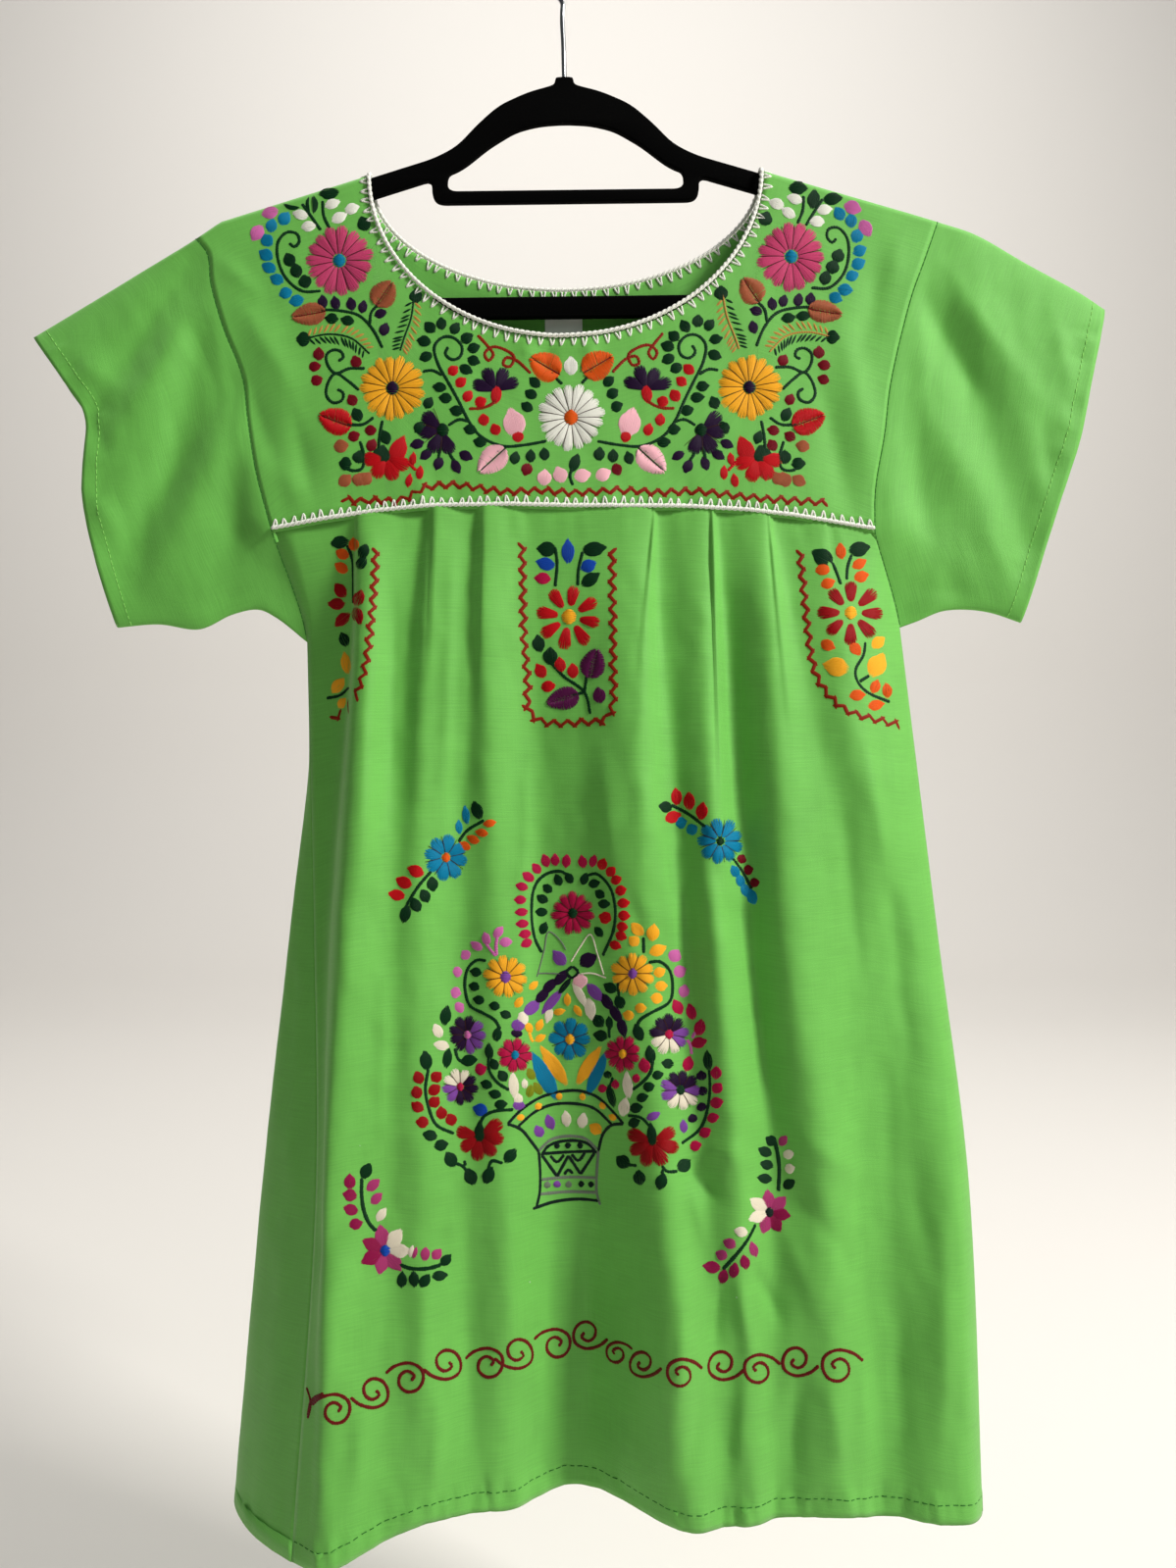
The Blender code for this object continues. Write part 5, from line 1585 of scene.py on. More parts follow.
def thread(name, colour, ply_mm=0.9, roughness=0.5):
    """Stranded thread: fine plies winding round it, with painted light on their crowns and painted
    shade between them.
    """
    nodes = Nodes(name, colour, roughness=roughness, sheen=0.02, sheen_roughness=0.4,
                  specular=0.12)
    run, along, around = nodes.split("run")
    wound = nodes.blend(along, 2 * math.pi / ply_mm, around, 2 * math.pi * 1.5)
    plies = nodes.math("MULTIPLY", nodes.math("ADD", nodes.math("SINE", wound), 1.0), 0.5)
    # The base colour is painted lighter on the plies' crowns and darker in the grooves between
    # them, where light and shade fall; the noise varies it at random along the thread
    nodes.shade(nodes.blend(plies, 0.55, nodes.noise(run, 3.0), 0.5), colour, 0.72, 1.14)
    nodes.bump(plies, 0.0001, 0.7)
    return nodes.made


def flock(name, colour):
    """Short flock on a moulded hanger: matt, its tone varied by fine fibres and rubbed patches,
    with a faint sheen.
    """
    nodes = Nodes(name, colour, roughness=0.9, sheen=0.01, sheen_roughness=0.35, specular=0.04)
    place = nodes.add("TexCoord").outputs["Object"]
    fibres = nodes.noise(place, 2600.0)
    rubbed = nodes.noise(place, 34.0, 3.0)
    nodes.shade(nodes.math("MULTIPLY", fibres, rubbed, True), colour, 0.6, 1.7)
    nodes.bump(fibres, 0.0002, 0.8)
    return nodes.made


def steel(name, colour):
    """Bright plated wire, with faint drawing marks along it."""
    nodes = Nodes(name, colour, roughness=0.16, metallic=1.0)
    place = nodes.add("TexCoord").outputs["Object"]
    marks = nodes.noise(place, 260.0, 3.0, (3.0, 3.0, 0.25))
    nodes.shade_with("Roughness", nodes.math("ADD", nodes.math("MULTIPLY", marks, 0.22), 0.06))
    nodes.shade(marks, colour, 0.86, 1.05)
    nodes.bump(marks, 0.00003, 0.4)
    return nodes.made


def new_strands():
    """A mesh for strands, and its attribute for how far along and round a strand a vert is."""
    build = bmesh.new()
    return build, build.verts.layers.float_vector.new("run")


def add_ring(build, run, point, tangent, across, radii, gone):
    """A ring of verts round a point of a strand, at a radius for each."""
    side = tangent.cross(across)
    side = side.normalized() if side.length > 1e-6 else Vector((0, 0, 1))
    face = side.cross(tangent)
    ring = []
    for k, radius in enumerate(radii):
        turn = 2 * math.pi * k / len(radii)
        out = (side * math.cos(turn) + face * math.sin(turn)) * radius
        ring.append(build.verts.new(point + out))
        ring[-1][run] = Vector((gone / MM, k / len(radii), 0))
    return ring


def rope(path, closed=False):
    """A cord mesh whose surface shows plies winding round it, along points in metres."""
    path = spaced(path, ROPE_EVERY * MM)
    if closed:
        path.pop()
    last = len(path) - 1
    build, run = new_strands()
    rings = []
    gone = 0.0
    for i, point in enumerate(path):
        ahead = path[(i + 1) % len(path)] if closed or i < last else point
        behind = path[i - 1] if closed or i else point
        radius = ROPE_RADIUS * MM * (1.0 if closed or 0 < i < last else ROPE_TIP)
        wound = 2 * math.pi * gone / (ROPE_PITCH * MM)
        turns = (ROPE_PLIES * 2 * math.pi * k / ROPE_SIDES - wound for k in range(ROPE_SIDES))
        radii = [radius * (1 + ROPE_SWELL * math.cos(turn)) for turn in turns]
        tangent = (ahead - behind).normalized()
        rings.append(add_ring(build, run, point, tangent, Vector((0, 1, 0)), radii, gone))
        gone += (ahead - point).length
    if closed:
        rings.append(rings[0])
    else:
        build.faces.new(rings[0])
        build.faces.new(rings[-1][::-1])
    skin(build, rings, True)
    return build


def tube(build, run, path, radius, sides):
    """A plain round strand along points, closed at both ends."""
    last = len(path) - 1
    rings = []
    gone = 0.0
    for i, point in enumerate(path):
        tangent = (path[min(i + 1, last)] - path[max(i - 1, 0)]).normalized()
        rings.append(add_ring(build, run, point, tangent, Vector((0, 1, 0.01)), [radius] * sides,
                              gone))
        gone += (point - path[max(i - 1, 0)]).length
    skin(build, rings, True)
    build.faces.new(rings[0])
    build.faces.new(rings[-1][::-1])


def as_object(name, builds, finishes, slot, *replaced):
    """One piece from several bmeshes, each with its own finish."""
    whole = bmesh.new()
    for index, build in enumerate(builds):
        for face in build.faces:
            face.material_index = index
            face.smooth = True
        part = bpy.data.meshes.new("part")
        build.to_mesh(part)
        build.free()
        whole.from_mesh(part)
        bpy.data.meshes.remove(part)
    mesh = bpy.data.meshes.new(name)
    whole.to_mesh(mesh)
    whole.free()
    return piece(name, mesh, finishes, slot, *replaced)


def split_edges(made, degrees):
    edge = made.modifiers.new("edge", "EDGE_SPLIT")
    edge.split_angle = math.radians(degrees)


def neck_edge(yoke):
    """The neckline's points on one face of the yoke, left to right, and the points just below."""
    left = [row[-1] for row in yoke["left"][:SHELF_ROW]]
    right = [row[-1] for row in yoke["right"][:SHELF_ROW]]
    return [Vector(p) for p in (*left, *yoke["neck"][0], *right[::-1])]


def neck_cord(yokes):
    """The middle of the neck edging: just off the cloth's edge, and a little out from it. Each
    point comes with the way into the cloth."""
    ring = []
    for face in (FRONT, BACK):
        edge = neck_edge(yokes[face])
        last = len(edge) - 1
        side = []
        for i, point in enumerate(edge):
            run = edge[min(i + 1, last)] - edge[max(i - 1, 0)]
            inward = Vector((-run.z, 0, run.x)).normalized()
            if i in (0, last):
                inward = Vector((1 if i == 0 else -1, 0, 0))
            tilt = max(RIDGE_ROUND - (ridge_z(point.x) - point.z), 0.0) / RIDGE_ROUND
            off = face * NECK_CORD_OUT * math.sqrt(max(1 - tilt * tilt, 0.0))
            shift = inward * NECK_CORD_IN + Vector((0, -off, NECK_CORD_OUT * tilt))
            side.append(((point + shift) * MM, -inward))
        ring += side[:-1] if face > 0 else side[:0:-1]
    return ring


def seam_cord(yoke, face):
    """The middle of the edging along the yoke's bottom edge, left to right."""
    lows, highs = ([*yoke["left"][row], *yoke["neck"][row][1:-1], *yoke["right"][row][::-1]]
                   for row in (-1, -4))
    up = CORD_RADIUS + SEAM_CORD_UP
    off = Vector((0, -face * (CORD_RADIUS + SEAM_CORD_OUT), 0))
    return [(Vector(low) + Vector(high - low).normalized() * up + off) * MM
            for low, high in zip(lows, highs)]


def loops_along(path, intos, surface, size, seed):
    """Crocheted loops along an edging: each goes from the cord into the cloth and back, with its
    strands lying on the cloth. path and intos are points and ways in, closely spaced."""
    pick = random.Random(seed)
    build, run = new_strands()
    line = Line(path)
    deep_mm, every = size
    want = LOOPS_START * MM
    while want < line.long - LOOPS_END * MM:
        deep = deep_mm * pick.uniform(0.85, 1.15) * MM
        lean = pick.uniform(-LOOP_LEAN, LOOP_LEAN) * MM
        points = []
        for along, into in LOOP_SHAPE:
            spot = want + along * MM + lean * into
            inwards = intos[line.next(spot)] * (deep * into + LOOP_RADIUS * MM)
            points.append(surface.nearest(line.at(spot) + inwards, LOOP_LIFT * MM))
        tube(build, run, smooth_line(points, 3), LOOP_RADIUS * MM, 6)
        want += every * pick.uniform(0.86, 1.14) * MM
    return build


def hanger_outline():
    """Half of each loop of the upright hanger at +X, as (x, z) from the middle outwards: the
    outside, the arch's gap and the gap over the trouser bar."""
    def arm_z(x):
        return ARM_START_Z - (x - ARM_START_X) * ARM_SLOPE

    def under_arm(x):
        return x, arm_z(x) - ARM_DEEP

    end_z = arm_z(ARM_END_X)
    outer = [(4.6, BLOCK_TOP), (5.5, -83.2), (6.0, -86.2), (9, -87.6), (22, -90.9),
             (40, -98.8), (53, -110), (66, -123.6), (80, arm_z(80)), (ARM_START_X, ARM_START_Z),
             (ARM_END_X, end_z), (212, end_z - 4.8), (217, end_z - 10), (219, end_z - 17),
             (215, -206), (209, -221), (203, -227), (195, BAR_BOTTOM)]
    strut_in = TIE_HALF - STRUT_WIDE
    arch = [(0, -110), (16, -111), (30, -114.5), (46, -124), (60, -135), (66, -138.5),
            under_arm(strut_in), (strut_in, TIE_TOP)]
    gap = [(TIE_HALF - 4, TIE_BOTTOM), (TIE_HALF, TIE_BOTTOM + 4), under_arm(TIE_HALF),
           under_arm(150), under_arm(203), (208, under_arm(208)[1] - 2), (208, -194),
           (202, -210), (194, BAR_TOP)]
    return outer, arch, gap


def eased(loop, most):
    """A closed outline with each corner rounded by a short curve."""
    found = []
    for i, corner in enumerate(loop):
        behind, ahead = (corner.lerp(other, min(0.46, most / (other - corner).length))
                         for other in (loop[i - 1], loop[(i + 1) % len(loop)]))
        for k in range(EASE_PARTS + 1):
            t = k / EASE_PARTS
            found.append(behind.lerp(corner, t).lerp(corner.lerp(ahead, t), t))
    return found


def add_hanger(finish):
    """The flocked hanger, with eased corners and rounded edges."""
    line = bpy.data.curves.new("hanger_flocked", "CURVE")
    line.dimensions = "2D"
    line.fill_mode = "BOTH"
    line.extrude = (HANGER_THICK / 2 - HANGER_ROUND) * MM
    line.bevel_depth = HANGER_ROUND * MM
    line.bevel_resolution = 3
    line.offset = -HANGER_ROUND * MM
    for half, most in zip(hanger_outline(), CORNERS_EASED):
        whole = half + [(-x, z) for x, z in reversed(half) if x > 0]
        loop = eased([Vector(rolled(x, z)) for x, z in whole], most)
        spline = line.splines.new("POLY")
        spline.points.add(len(loop) - 1)
        for target, point in zip(spline.points, loop):
            target.co = (point.x * MM, point.y * MM, 0, 1)
        spline.use_cyclic_u = True
    shape = bpy.data.objects.new("hanger_shape", line)
    mesh = bpy.data.meshes.new_from_object(shape)
    bpy.data.objects.remove(shape)
    build = bmesh.new()
    build.from_mesh(mesh)
    bpy.data.meshes.remove(mesh)
    bmesh.ops.remove_doubles(build, verts=build.verts, dist=0.01 * MM)
    for vert in build.verts:
        vert.co = Vector((vert.co.x, -vert.co.z, vert.co.y))
    bmesh.ops.recalc_face_normals(build, faces=build.faces)
    split_edges(as_object("hanger_flocked", [build], [finish], "black_flock", "hanger"), 50)


def add_hook(finish):
    """The wire hook, from the neck block up and over to its free end."""
    stem = [(0, BLOCK_TOP + STEM_GAP), (-0.3, -60), (-0.8, -47), (-0.6, -41), (-0.4, -36.5),
            (-2.5, -32.8), (-7.4, -30.1), (-12.8, -27.5)]
    middle_z = WIRE_RADIUS - HOOK_RADIUS
    points = [Vector((x, 0, z)) for x, z in (rolled(*spot) for spot in stem)]
    for k in range(HOOK_KNOTS):
        angle = math.radians(HOOK_START - k * HOOK_TURN / (HOOK_KNOTS - 1))
        points.append(Vector((HOOK_RADIUS * math.cos(angle), 0,
                              middle_z + HOOK_RADIUS * math.sin(angle))))
    build, run = new_strands()
    tube(build, run, [p * MM for p in smooth_line(points, 8)], WIRE_RADIUS * MM, 20)
    split_edges(as_object("hook_wire", [build], [finish], "bright_steel", "hook"), 60)


def add_label(finish):
    """The small blank tag inside the back neck, a little longer than its solid."""
    low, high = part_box("neck_label")
    columns, rows = 24, 20
    build = bmesh.new()
    build.verts.layers.float_vector.new("run")
    grid = []
    for j in range(rows + 1):
        down = j / rows
        row = []
        for i in range(columns + 1):
            across = i / columns
            sag = 0.5 * math.sin(math.pi * across) * down + 0.3 * math.sin(9 * across + 4 * down)
            deep = high[1] + (low[1] - high[1]) * (0.45 + 0.1 * down) - sag * MM * 0.4
            row.append(build.verts.new((low[0] + (high[0] - low[0]) * across, deep,
                                        high[2] - (high[2] - low[2]) * 1.25 * down)))
        grid.append(row)
    skin(build, grid)
    made = as_object("neck_label_tag", [build], [finish], "pale_tag", "neck_label")
    add_wall(made, 0.35)


def twin(at):
    """Where the yoke's right half has the twin of a spot on its left half, or of a spot with a
    turn."""
    x, y, *turn = at
    low = min(max((y - TWIN_TOP) / 200, 0.0), 1.0)
    return (TWIN_MIDDLE + (TWIN_MIDDLE - x) * (0.93 + 0.07 * low), y - 5 * (1 - low),
            *(180 - angle for angle in turn))


def moved(shape, spot, **changes):
    """A charted shape with its spots moved by a function, and with other changes."""
    if isinstance(shape, (Flower, Leaf)):
        return shape._replace(at=spot(shape.at), **changes)
    return shape._replace(spots=tuple(spot(at) for at in shape.spots), **changes)


def mirrored(shape):
    """The twin of a charted shape on the yoke's other half."""
    changes = {}
    if isinstance(shape, Flower):
        turned = shape.first + 360 / shape.petals * len(shape.colours)
        changes = {"first": 180 - turned, "colours": shape.colours[::-1]}
    elif isinstance(shape, Leaf):
        changes = {"turn": 180 - shape.turn}
    elif isinstance(shape, Fern):
        changes = {"left": shape.right, "right": shape.left}
    return moved(shape, twin, **changes)


def on_photo(shapes, corner, steps):
    """A chart drawn on an enlargement, turned into pixels of the photograph."""
    def spot(at):
        return (corner[0] + at[0] / steps, corner[1] + at[1] / steps, *at[2:])

    found = []
    for shape in shapes:
        sizes = {} if isinstance(shape, Stem) else {
            size: getattr(shape, size) / steps
            for size in ("radius", "eye_radius", "long", "wide") if size in shape._fields}
        found.append(moved(shape, spot, **sizes))
    return found


def way(turn):
    """The direction on the chart of an angle in degrees, anticlockwise from the right."""
    return Vector((math.cos(math.radians(turn)), -math.sin(math.radians(turn))))


def smoothed(spots, parts=6):
    """A smooth line through charted spots."""
    points = [Vector(spot) for spot in spots]
    return points if len(points) < 3 else smooth_line(points, parts)


def side_by_side(wide):
    """Places from -1 to 1 for strands that lie side by side over a width."""
    count = max(3, round(wide / STRAND))
    return [2 * (k + 0.5) / count - 1 for k in range(count)]


def dome(across):
    return math.sqrt(max(1 - across * across, 0.0))


class Sewing:
    """Threads laid on the cloth, all in one mesh, with a material for each colour."""

    def __init__(self, cloths, seed):
        self.cloths = cloths
        self.pick = random.Random(seed)
        self.colours = []
        self.verts = []
        self.runs = []
        self.faces = []
        self.finishes = []

    def strand(self, colour, line, wide, crown, pads=(0.0, 0.0), taper=0.55):
        """One thread along spots of the chart: up through the cloth, over it and in again. pads
        lift it at its middle and at its ends, in millimetres. wide is in pixels. A thread that
        would span a fold isn't sewn."""
        laid = [self.cloths.seen_at(spot) for spot in line]
        if None in laid:
            return
        points = [spot for spot, _ in laid]
        for i in range(1, len(line)):
            apart = (Vector(line[i]) - Vector(line[i - 1])).length * PIXEL * MM
            if (points[i] - points[i - 1]).length > SPAN_TIMES * apart + SPAN_MORE_MM * MM:
                return
        if colour not in self.colours:
            self.colours.append(colour)
        index = self.colours.index(colour)
        start = len(self.verts)
        last = len(line) - 1
        gone = 0.0
        for i, (point, normal) in enumerate(laid):
            tangent = points[min(i + 1, last)] - points[max(i - 1, 0)]
            side = tangent.cross(normal).normalized()
            arch = math.sin(math.pi * i / last)
            full = taper + (1 - taper) * arch ** 0.5
            half = wide * PIXEL * MM / 2 * full
            bed = (THICK / 2 + pads[1] + (pads[0] - pads[1]) * arch) * MM
            edge = bed - (EDGE_SINKS_MM if 0 < i < last else STITCH_SINKS_MM) * MM
            top = bed + (crown * full if 0 < i < last else -CROWN_SINKS_MM) * MM
            self.verts += [point - side * half + normal * edge, point + normal * top,
                           point + side * half + normal * edge]
            self.runs += [(gone, 0.0, 0.0), (gone, 0.5, 0.0), (gone, 1.0, 0.0)]
            if i < last:
                gone += (points[i + 1] - point).length / MM
                a = start + 3 * i
                self.faces += [(a, a + 3, a + 4, a + 1), (a + 1, a + 4, a + 5, a + 2)]
                self.finishes += [index, index]

    def straight(self, colour, start, end, wide=STRAND, crown=STRAND_CROWN_MM, pads=(0.0, 0.0),
                 parts=0, taper=0.55):
        """A straight stitch between two spots, a little uneven at its ends."""
        start = Vector(start) + self.loose(STITCH_LOOSE)
        end = Vector(end) + self.loose(STITCH_LOOSE)
        parts = parts or max(3, min(6, round((end - start).length / 4.5)))
        line = [start.lerp(end, i / parts) for i in range(parts + 1)]
        wide *= self.pick.uniform(0.92, 1.12)
        self.strand(colour, line, wide, crown * self.pick.uniform(0.85, 1.15), pads, taper)

    def loose(self, most):
        return Vector((self.pick.uniform(-most, most), self.pick.uniform(-most, most)))

    def petal(self, colour, at, turn, spread, root, tip):
        """Strands side by side that fan out from a flower's eye to the petal's round end."""
        bluntness = 0.12 if spread < 14 else 0.24
        for across in side_by_side(math.radians(2 * spread) * tip * 0.8):
            lean = turn + spread * across
            inner = root * (1 + 0.12 * across * across)
            outer = tip * (1 - bluntness * abs(across) ** 2.6) * self.pick.uniform(0.985, 1.015)
            pad = SATIN_PAD_MM * dome(across)
            foot = at + way(lean * 0.97 + turn * 0.03) * inner
            self.straight(colour, foot, at + way(lean) * outer, STRAND * 1.22,
                          pads=(pad, pad * 0.35))

    def disc(self, colour, at, radius):
        """A flower's eye, of strands from side to side."""
        for across in side_by_side(2 * radius):
            half = Vector((radius * dome(across), 0))
            middle = at + Vector((0, across * radius))
            rise = SATIN_PAD_MM * 1.5 * dome(across)
            self.straight(colour, middle - half, middle + half, STRAND * 1.2,
                          pads=(rise, rise * 0.2), parts=4)

    def flower(self, shape):
        at = Vector(shape.at)
        step = 360 / shape.petals
        root = shape.radius * shape.root
        for k, colour in enumerate(shape.colours):
            turn = shape.first + step * (k + 0.5) + self.pick.uniform(-0.06, 0.06) * step
            tip = shape.radius * self.pick.uniform(0.95, 1.04)
            if shape.almond:
                long = tip * (1 - shape.root)
                middle = at + way(turn) * tip * (1 + shape.root) / 2
                self.leaf(Leaf(middle, long, long * shape.almond, turn, colour))
                continue
            self.petal(colour, at, turn, step * 0.485 * shape.narrow, root, tip)
            # A dark strand along the gap before each petal: painted shade between the petals
            if shape.eye and shape.narrow > 0.8:
                edge = way(shape.first + step * k)
                self.straight("shade", at + edge * root, at + edge * shape.radius * 0.92, 0.7,
                              0.12, (0.75, 0.45), 4)
        if shape.eye:
            self.disc(shape.eye, at, shape.eye_radius)

    def leaf(self, shape):
        """A leaf of strands along it or, with a rib, in two halves that slant from the rib."""
        at = Vector(shape.at)
        ahead = way(shape.turn)
        aside = way(shape.turn + 90)
        half_long = shape.long * 0.53
        half_wide = shape.wide * 0.54
        if not shape.rib:
            for across in side_by_side(2 * half_wide):
                foot = half_long * (1 - 0.36 * abs(across) ** 2.0) * self.pick.uniform(0.93, 1.05)
                tip = half_long * (1 - 0.44 * abs(across) ** 1.6) * self.pick.uniform(0.92, 1.05)
                bow = aside * half_wide * across
                middle = at + bow
                self.bowed(shape.colour, middle - ahead * foot - bow * 0.28, middle,
                           middle + ahead * tip - bow * 0.42, SATIN_PAD_MM * 0.7 * dome(across))
            return
        count = max(5, round(2 * half_long / (STRAND * 1.05)))
        for sense in (1, -1):
            for k in range(count):
                share = (k + 0.5) / count
                wide = half_wide * 1.1 * math.sin(math.pi * share ** 0.72) ** 0.6
                foot = at + ahead * half_long * (1.75 * share - 1.0)
                tip = at + ahead * half_long * (2 * share - 1) * 0.98 + aside * sense * wide
                self.straight(shape.colour, foot + aside * sense * 0.5, tip, STRAND * 1.25,
                              pads=(SATIN_PAD_MM, 0.2), parts=3)
        self.stem(shape.rib, (at - ahead * half_long * 1.05, at + ahead * half_long * 0.8), 1.3)

    def bowed(self, colour, start, middle, end, pad):
        """A strand that bows out through its middle."""
        bow = middle - (start + end) / 2
        line = []
        for t in (0, 0.25, 0.5, 0.75, 1):
            line.append(start.lerp(end, t) + bow * 4 * t * (1 - t) + self.loose(0.2))
        self.strand(colour, line, STRAND * self.pick.uniform(1.1, 1.3), STRAND_CROWN_MM,
                    (pad, pad * 0.3))

    def stem(self, colour, spots, wide):
        """Stem stitch: short slanting stitches, each half beside the one before."""
        line = Line(smoothed(spots))
        count = max(1, round(line.long / (STEM_STITCH * 0.6)))
        half = STEM_STITCH * 0.55
        for k in range(count):
            middle = line.long * (k + 0.5) / count
            start = max(middle - half, 0.0)
            slant = line.aside(start) * wide * 0.24
            end = min(middle + half, line.long)
            first, mid, last = (line.at(along) for along in (start, middle, end))
            self.strand(colour, [first - slant, (first + mid) / 2 - slant * 0.5, mid,
                                 (mid + last) / 2 + slant * 0.5, last + slant],
                        wide * self.pick.uniform(0.88, 1.1), STEM_CROWN_MM, (0.15, 0.0), 0.6)

    def fern(self, shape):
        """A stem with short straight barbs, slanting on from both its sides."""
        self.stem(shape.right, shape.spots, 1.9)
        line = smoothed(shape.spots, 10)
        last = len(line) - 1
        count = round(Line(line).long / BARB_EVERY)
        for k in range(1, count):
            i = k * last // count
            run = (line[min(i + 1, last)] - line[max(i - 1, 0)]).normalized()
            side = Vector((run.y, -run.x))
            reach = shape.barb * (0.75 + 0.4 * math.sin(math.pi * k / count))
            for colour, out in ((shape.left, side), (shape.right, -side)):
                tip = line[i] + (out * 0.85 + run * 0.55) * reach
                self.straight(colour, line[i] + out * 0.8, tip, 2.3, 0.4, (0.1, 0.0), 3, 0.8)

    def zigzag(self, colour, spots):
        """Herringbone stitch along a line: slanting stitches that cross at their ends."""
        line = Line(smoothed(spots))
        count = round(line.long / ZIGZAG_PITCH)
        for k in range(count):
            for sense, first, last in ZIGZAG_STITCHES:
                start, end = (line.long * min(max((k + share) / count, 0.0), 1.0)
                              for share in (first, last))
                tall = sense * ZIGZAG_HALF * self.pick.uniform(0.9, 1.1)
                self.straight(colour, line.at(start) + line.aside(start) * tall,
                              line.at(end) - line.aside(end) * tall, ZIGZAG_WIDE, STEM_CROWN_MM,
                              (0.24 if sense > 0 else 0.12, 0.0), 4, 0.85)

    def sew(self, shapes):
        """Every shape of a chart."""
        for shape in shapes:
            if isinstance(shape, Flower):
                self.flower(shape)
            elif isinstance(shape, Leaf):
                self.leaf(shape)
            elif isinstance(shape, Row):
                for x, y, turn in shape.spots:
                    self.leaf(Leaf((x, y), shape.long * self.pick.uniform(0.94, 1.06),
                                   shape.wide * self.pick.uniform(0.92, 1.08),
                                   turn + self.pick.uniform(-6, 6), shape.colour))
            elif isinstance(shape, Fern):
                self.fern(shape)
            else:
                self.stem(shape.colour, shape.spots, shape.wide)

    def finish(self, name, threads):
        """The mesh of all its threads, as one piece."""
        mesh = bpy.data.meshes.new(name)
        mesh.from_pydata(self.verts, [], self.faces)
        run = mesh.attributes.new("run", "FLOAT_VECTOR", "POINT")
        run.data.foreach_set("vector", np.array(self.runs, dtype=np.float32).ravel())
        mesh.polygons.foreach_set("material_index", self.finishes)
        mesh.shade_smooth()
        piece(name, mesh, [threads[colour] for colour in self.colours], None)


def linear(rgb):
    """A colour given as seen on a screen, 0 to 255, as shader values."""
    return tuple(((c / 255 + 0.055) / 1.055) ** 2.4 if c > 10 else c / 255 / 12.92 for c in rgb)


def add_shells(green):
    """The cloth pieces. Gives back the grids, for the sewing to follow."""
    yokes = {face: yoke_grids(face) for face in (FRONT, BACK)}
    skirts = {FRONT: skirt_grid(FRONT_FOLDS, BACK_FOLDS, FRONT),
              BACK: skirt_grid(BACK_FOLDS, FRONT_FOLDS, BACK)}
    yoke = cloth("yoke_cloth", [grid for face in yokes.values() for grid in face.values()],
                 False, green, "yoke")
    for face, name in ((FRONT, "skirt_front"), (BACK, "skirt_back")):
        grid = hemmed(tucked_top(skirts[face], face), face)
        panel = cloth(name + "_cloth", [grid], False, green, name)
    sleeves = {side: sleeve_grid(side, yokes, skirts) for side in SLEEVES}
    for side, grid in sleeves.items():
        name = "sleeve_" + side
        sleeve = cloth(name + "_cloth", [grid], True, green, name)
    return yokes, skirts, sleeves


class Cloths:
    """The cloth's surface, to lay threads on."""

    def __init__(self, names):
        verts = []
        faces = []
        for name in names:
            mesh = bpy.data.objects[name].data
            start = len(verts)
            verts += [v.co.copy() for v in mesh.vertices]
            faces += [[start + i for i in p.vertices] for p in mesh.polygons]
        self.tree = BVHTree.FromPolygons(verts, faces)

    def nearest(self, point, lift):
        """The point on the cloth nearest to a point near it, raised off the cloth towards it."""
        spot, normal, _, _ = self.tree.find_nearest(point)
        away = point - spot
        if away.length > 1e-7 and away.dot(normal) < 0:
            normal = -normal
        return spot + normal * lift

    def seen_at(self, pixel):
        """Where the camera's ray through a pixel meets the cloth, and the way out of it."""
        x, z = plane(pixel) * MM
        eye = Vector(EYE)
        spot, normal, _, _ = self.tree.ray_cast(eye, (Vector((x, 0, z)) - eye).normalized())
        if spot is None:
            return None
        return spot, -normal if normal.dot(eye - spot) < 0 else normal


def add_edgings(yokes, white):
    """The crocheted cords round the neck and along the yoke's seam, with their loops. At the back
    of the neck the loops show on the inside too."""
    surface = Cloths(["yoke_cloth"])
    ring = neck_cord(yokes)
    path, intos = zip(*ring, ring[0])
    shift = Vector((0, INNER_SHIFT * MM, 0))
    behind = [(spot - shift, into) for spot, into in ring if spot.y > BACK_NECK_Y * MM]
    builds = [rope(path, True), loops_along(path, intos, surface, NECK_LOOPS, 7),
              loops_along(*zip(*behind), surface, NECK_LOOPS, 8)]
    as_object("neck_crochet", builds, [white] * 3, "white_thread", "neck_edging")
    for face, side in ((FRONT, "front"), (BACK, "back")):
        line = seam_cord(yokes[face], face)
        highs = [Vector((0, 0, 1))] * len(line)
        builds = [rope(line), loops_along(line, highs, surface, SEAM_LOOPS, 11 + face)]
        as_object("yoke_crochet_" + side, builds, [white] * 2, "white_thread",
                  "yoke_edging_" + side)


def dashes(line, seed, sewing):
    """Short straight stitches along a line of points in metres."""
    long, gap, radius = sewing
    pick = random.Random(seed)
    build, run = new_strands()
    points = spaced(line, DASH_EVERY * MM)
    last = len(points) - 1
    at = 1.0
    while at + long < (last - 1) * DASH_EVERY:
        length = long * pick.uniform(0.85, 1.12)
        spots = [points[min(round((at + length * k / 3) / DASH_EVERY), last)] for k in range(4)]
        if (spots[3] - spots[0]).length < 1.6 * length * MM:
            tube(build, run, spots, radius * MM, 5)
        at += length + gap * pick.uniform(0.8, 1.25)
    return build


def inside_edge(grid, columns, deep, face):
    """A line on the cloth this far in from a grid's last row, a little off the cloth."""
    lift = Vector((0, -face * SEWING_LIFT * MM, 0))
    return [Line([Vector(p) * MM for p in grid[::-1, column][:EDGE_ROWS]]).at(deep * MM) + lift
            for column in columns]


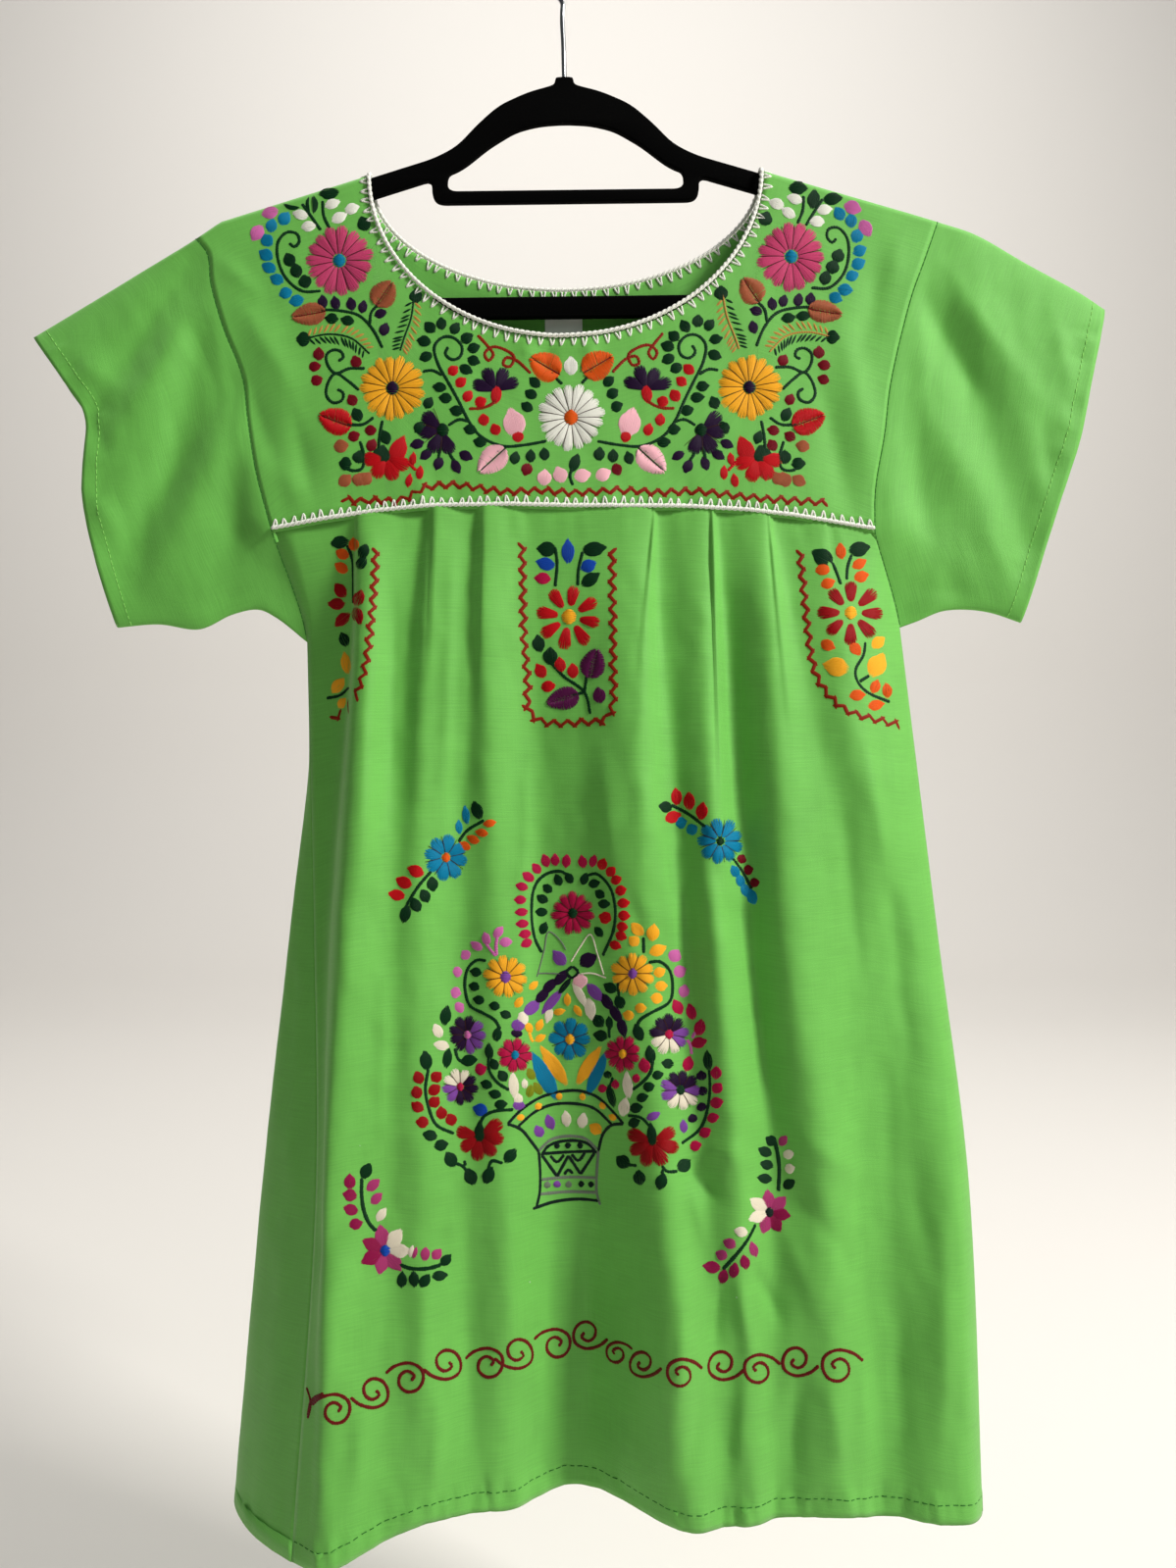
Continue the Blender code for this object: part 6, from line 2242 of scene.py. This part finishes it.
def add_seams(yokes, skirts, sleeves, green, dark):
    """The sewing that shows: stitches over the hems and cuffs, and the armhole seams."""
    hems = [dashes(inside_edge(grid, range(grid.shape[1]), HEM_DEEP, face), 20 + face, HEM_SEWING)
            for face, grid in skirts.items()]
    cuffs = []
    seams = []
    for side, grid in sleeves.items():
        sleeve = SLEEVES[side]
        columns = grid.shape[1]
        half = columns // 2 + 1
        for face, layer in ((FRONT, range(half)), (BACK, range(columns - 1, half - 2, -1))):
            line = inside_edge(grid, layer, CUFF_DEEP, face)
            cuffs.append(dashes(line, 30 + face + sleeve.seed, CUFF_SEWING))
            edge = armhole_edge(side, yokes[face], skirts[face])[ARMHOLE_FROM_ROW:]
            off = (sleeve.out * ARMHOLE_OUT, -face * ARMHOLE_LIFT, 0)
            line = [Vector(p) * MM for p in edge + off]
            seams.append(dashes(line, 40 + face + sleeve.seed, ARMHOLE_SEWING))
    for name, builds, finish in (("hem_stitches", hems, dark), ("cuff_stitches", cuffs, green),
                                 ("armhole_stitches", seams, dark)):
        as_object(name, builds, [finish] * len(builds), "green_cotton")


def add_stitching():
    """The embroidery, as threads on the cloth."""
    cloths = Cloths(["yoke_cloth", "skirt_front_cloth"])
    threads = {name: thread("thread_" + name, linear(rgb)) for name, rgb in THREADS.items()}
    yoke = Sewing(cloths, 3)
    yoke.zigzag("rust", YOKE_BORDER)
    for chart in (YOKE_HALF, [mirrored(shape) for shape in YOKE_HALF], YOKE_MIDDLE):
        yoke.sew(chart)
    yoke.finish("stitching_yoke", threads)
    panels = Sewing(cloths, 4)
    for line in (MIDDLE_FRAME, RIGHT_FRAME, LEFT_FRAME):
        panels.zigzag("rust", line)
    for chart in (MIDDLE_PANEL, RIGHT_PANEL, LEFT_PANEL):
        panels.sew(chart)
    panels.finish("stitching_panels", threads)
    middle = Sewing(cloths, 5)
    middle.sew(on_photo(BOUQUET, BOUQUET_CORNER, BOUQUET_STEPS))
    middle.finish("stitching_bouquet", threads)
    sprigs = Sewing(cloths, 6)
    sprigs.sew(on_photo(UPPER_SPRIGS, SPRIG_CORNER, SPRIG_STEPS))
    sprigs.sew(on_photo(LOWER_LEFT_SPRIG, LOWER_LEFT_CORNER, LOWER_STEPS))
    sprigs.sew(on_photo(LOWER_RIGHT_SPRIG, LOWER_RIGHT_CORNER, LOWER_STEPS))
    for x, y, half, forward, up in HEM_CURLS:
        spots = [(x + forward * a * half, y - up * b * half) for a, b in CURL_LINE]
        sprigs.stem("maroon", spots, CURL_WIDE)
    for spots in HEM_END:
        sprigs.stem("maroon", spots, CURL_WIDE)
    sprigs.finish("stitching_sprigs", threads)


def add_camera():
    """The photograph's view: level, from in front, a little under half way up the dress."""
    lens = bpy.data.cameras.new("camera")
    lens.sensor_width = SENSOR_MM
    lens.sensor_fit = "AUTO"
    lens.lens = SENSOR_MM * EYE_BACK / (PHOTO_TALL * PIXEL)
    lens.clip_start = 0.02
    lens.clip_end = 60
    camera = linked("camera", lens)
    camera.location = EYE
    camera.rotation_euler = (math.radians(90), 0, 0)
    bpy.context.scene.camera = camera


def add_light(name, place, aim, size, watts, tint):
    """A soft square light, from a row of the table of lights."""
    lamp = bpy.data.lights.new(name, "AREA")
    lamp.shape = "SQUARE"
    lamp.size = size
    lamp.energy = watts
    lamp.color = tint
    made = linked(name, lamp)
    made.location = place
    made.rotation_euler = (Vector(aim) - Vector(place)).to_track_quat("-Z", "Y").to_euler()


def add_studio():
    """A plain pale floor that sweeps up into a backdrop, and soft light from the right."""
    start, *bend, end = (Vector((y, FLOOR_Z + z)) for y, z in SWEEP)
    build = bmesh.new()
    rows = []
    for point in (start, *through(bend, start, end, 8), end):
        rows.append([build.verts.new((x, *point)) for x in (SWEEP_HALF, -SWEEP_HALF)])
    skin(build, rows)
    mesh = bpy.data.meshes.new("studio_floor")
    build.to_mesh(mesh)
    build.free()
    mesh.shade_smooth()
    mesh.materials.append(Nodes("studio_paper", PAPER, roughness=0.9).made)
    made = linked("studio_floor", mesh)
    for name, light in LIGHTS.items():
        add_light(name, *light)
    world = bpy.data.worlds.new("studio_air")
    world.use_nodes = True
    sky = world.node_tree.nodes["Background"]
    sky.inputs["Color"].default_value = AIR
    sky.inputs["Strength"].default_value = AIR_STRENGTH
    bpy.context.scene.world = world
    bpy.context.scene.view_settings.view_transform = "Standard"


def add_dress():
    """Everything of the dress and its hanger."""
    green = cotton("green_cotton", linear(CLOTH_GREEN), 0.62, 0.8)
    yokes, skirts, sleeves = add_shells(green)
    add_edgings(yokes, thread("white_thread", linear(EDGING_WHITE), 1.1, 0.6))
    add_seams(yokes, skirts, sleeves, thread("cuff_thread", linear(CUFF_GREEN)),
              thread("seam_thread", linear(SEAM_GREEN)))
    add_hanger(flock("black_flock", linear(FLOCK_BLACK)))
    add_hook(steel("bright_steel", linear(STEEL_GREY)))
    add_label(cotton("pale_tag", linear(TAG_WHITE), 0.4, 0.1))
    add_stitching()


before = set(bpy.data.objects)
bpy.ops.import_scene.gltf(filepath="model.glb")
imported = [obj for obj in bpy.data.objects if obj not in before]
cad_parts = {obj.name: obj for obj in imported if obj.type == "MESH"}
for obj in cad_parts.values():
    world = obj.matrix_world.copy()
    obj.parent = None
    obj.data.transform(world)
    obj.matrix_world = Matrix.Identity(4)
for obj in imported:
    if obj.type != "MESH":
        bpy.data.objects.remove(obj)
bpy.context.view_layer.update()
add_dress()
add_camera()
add_studio()
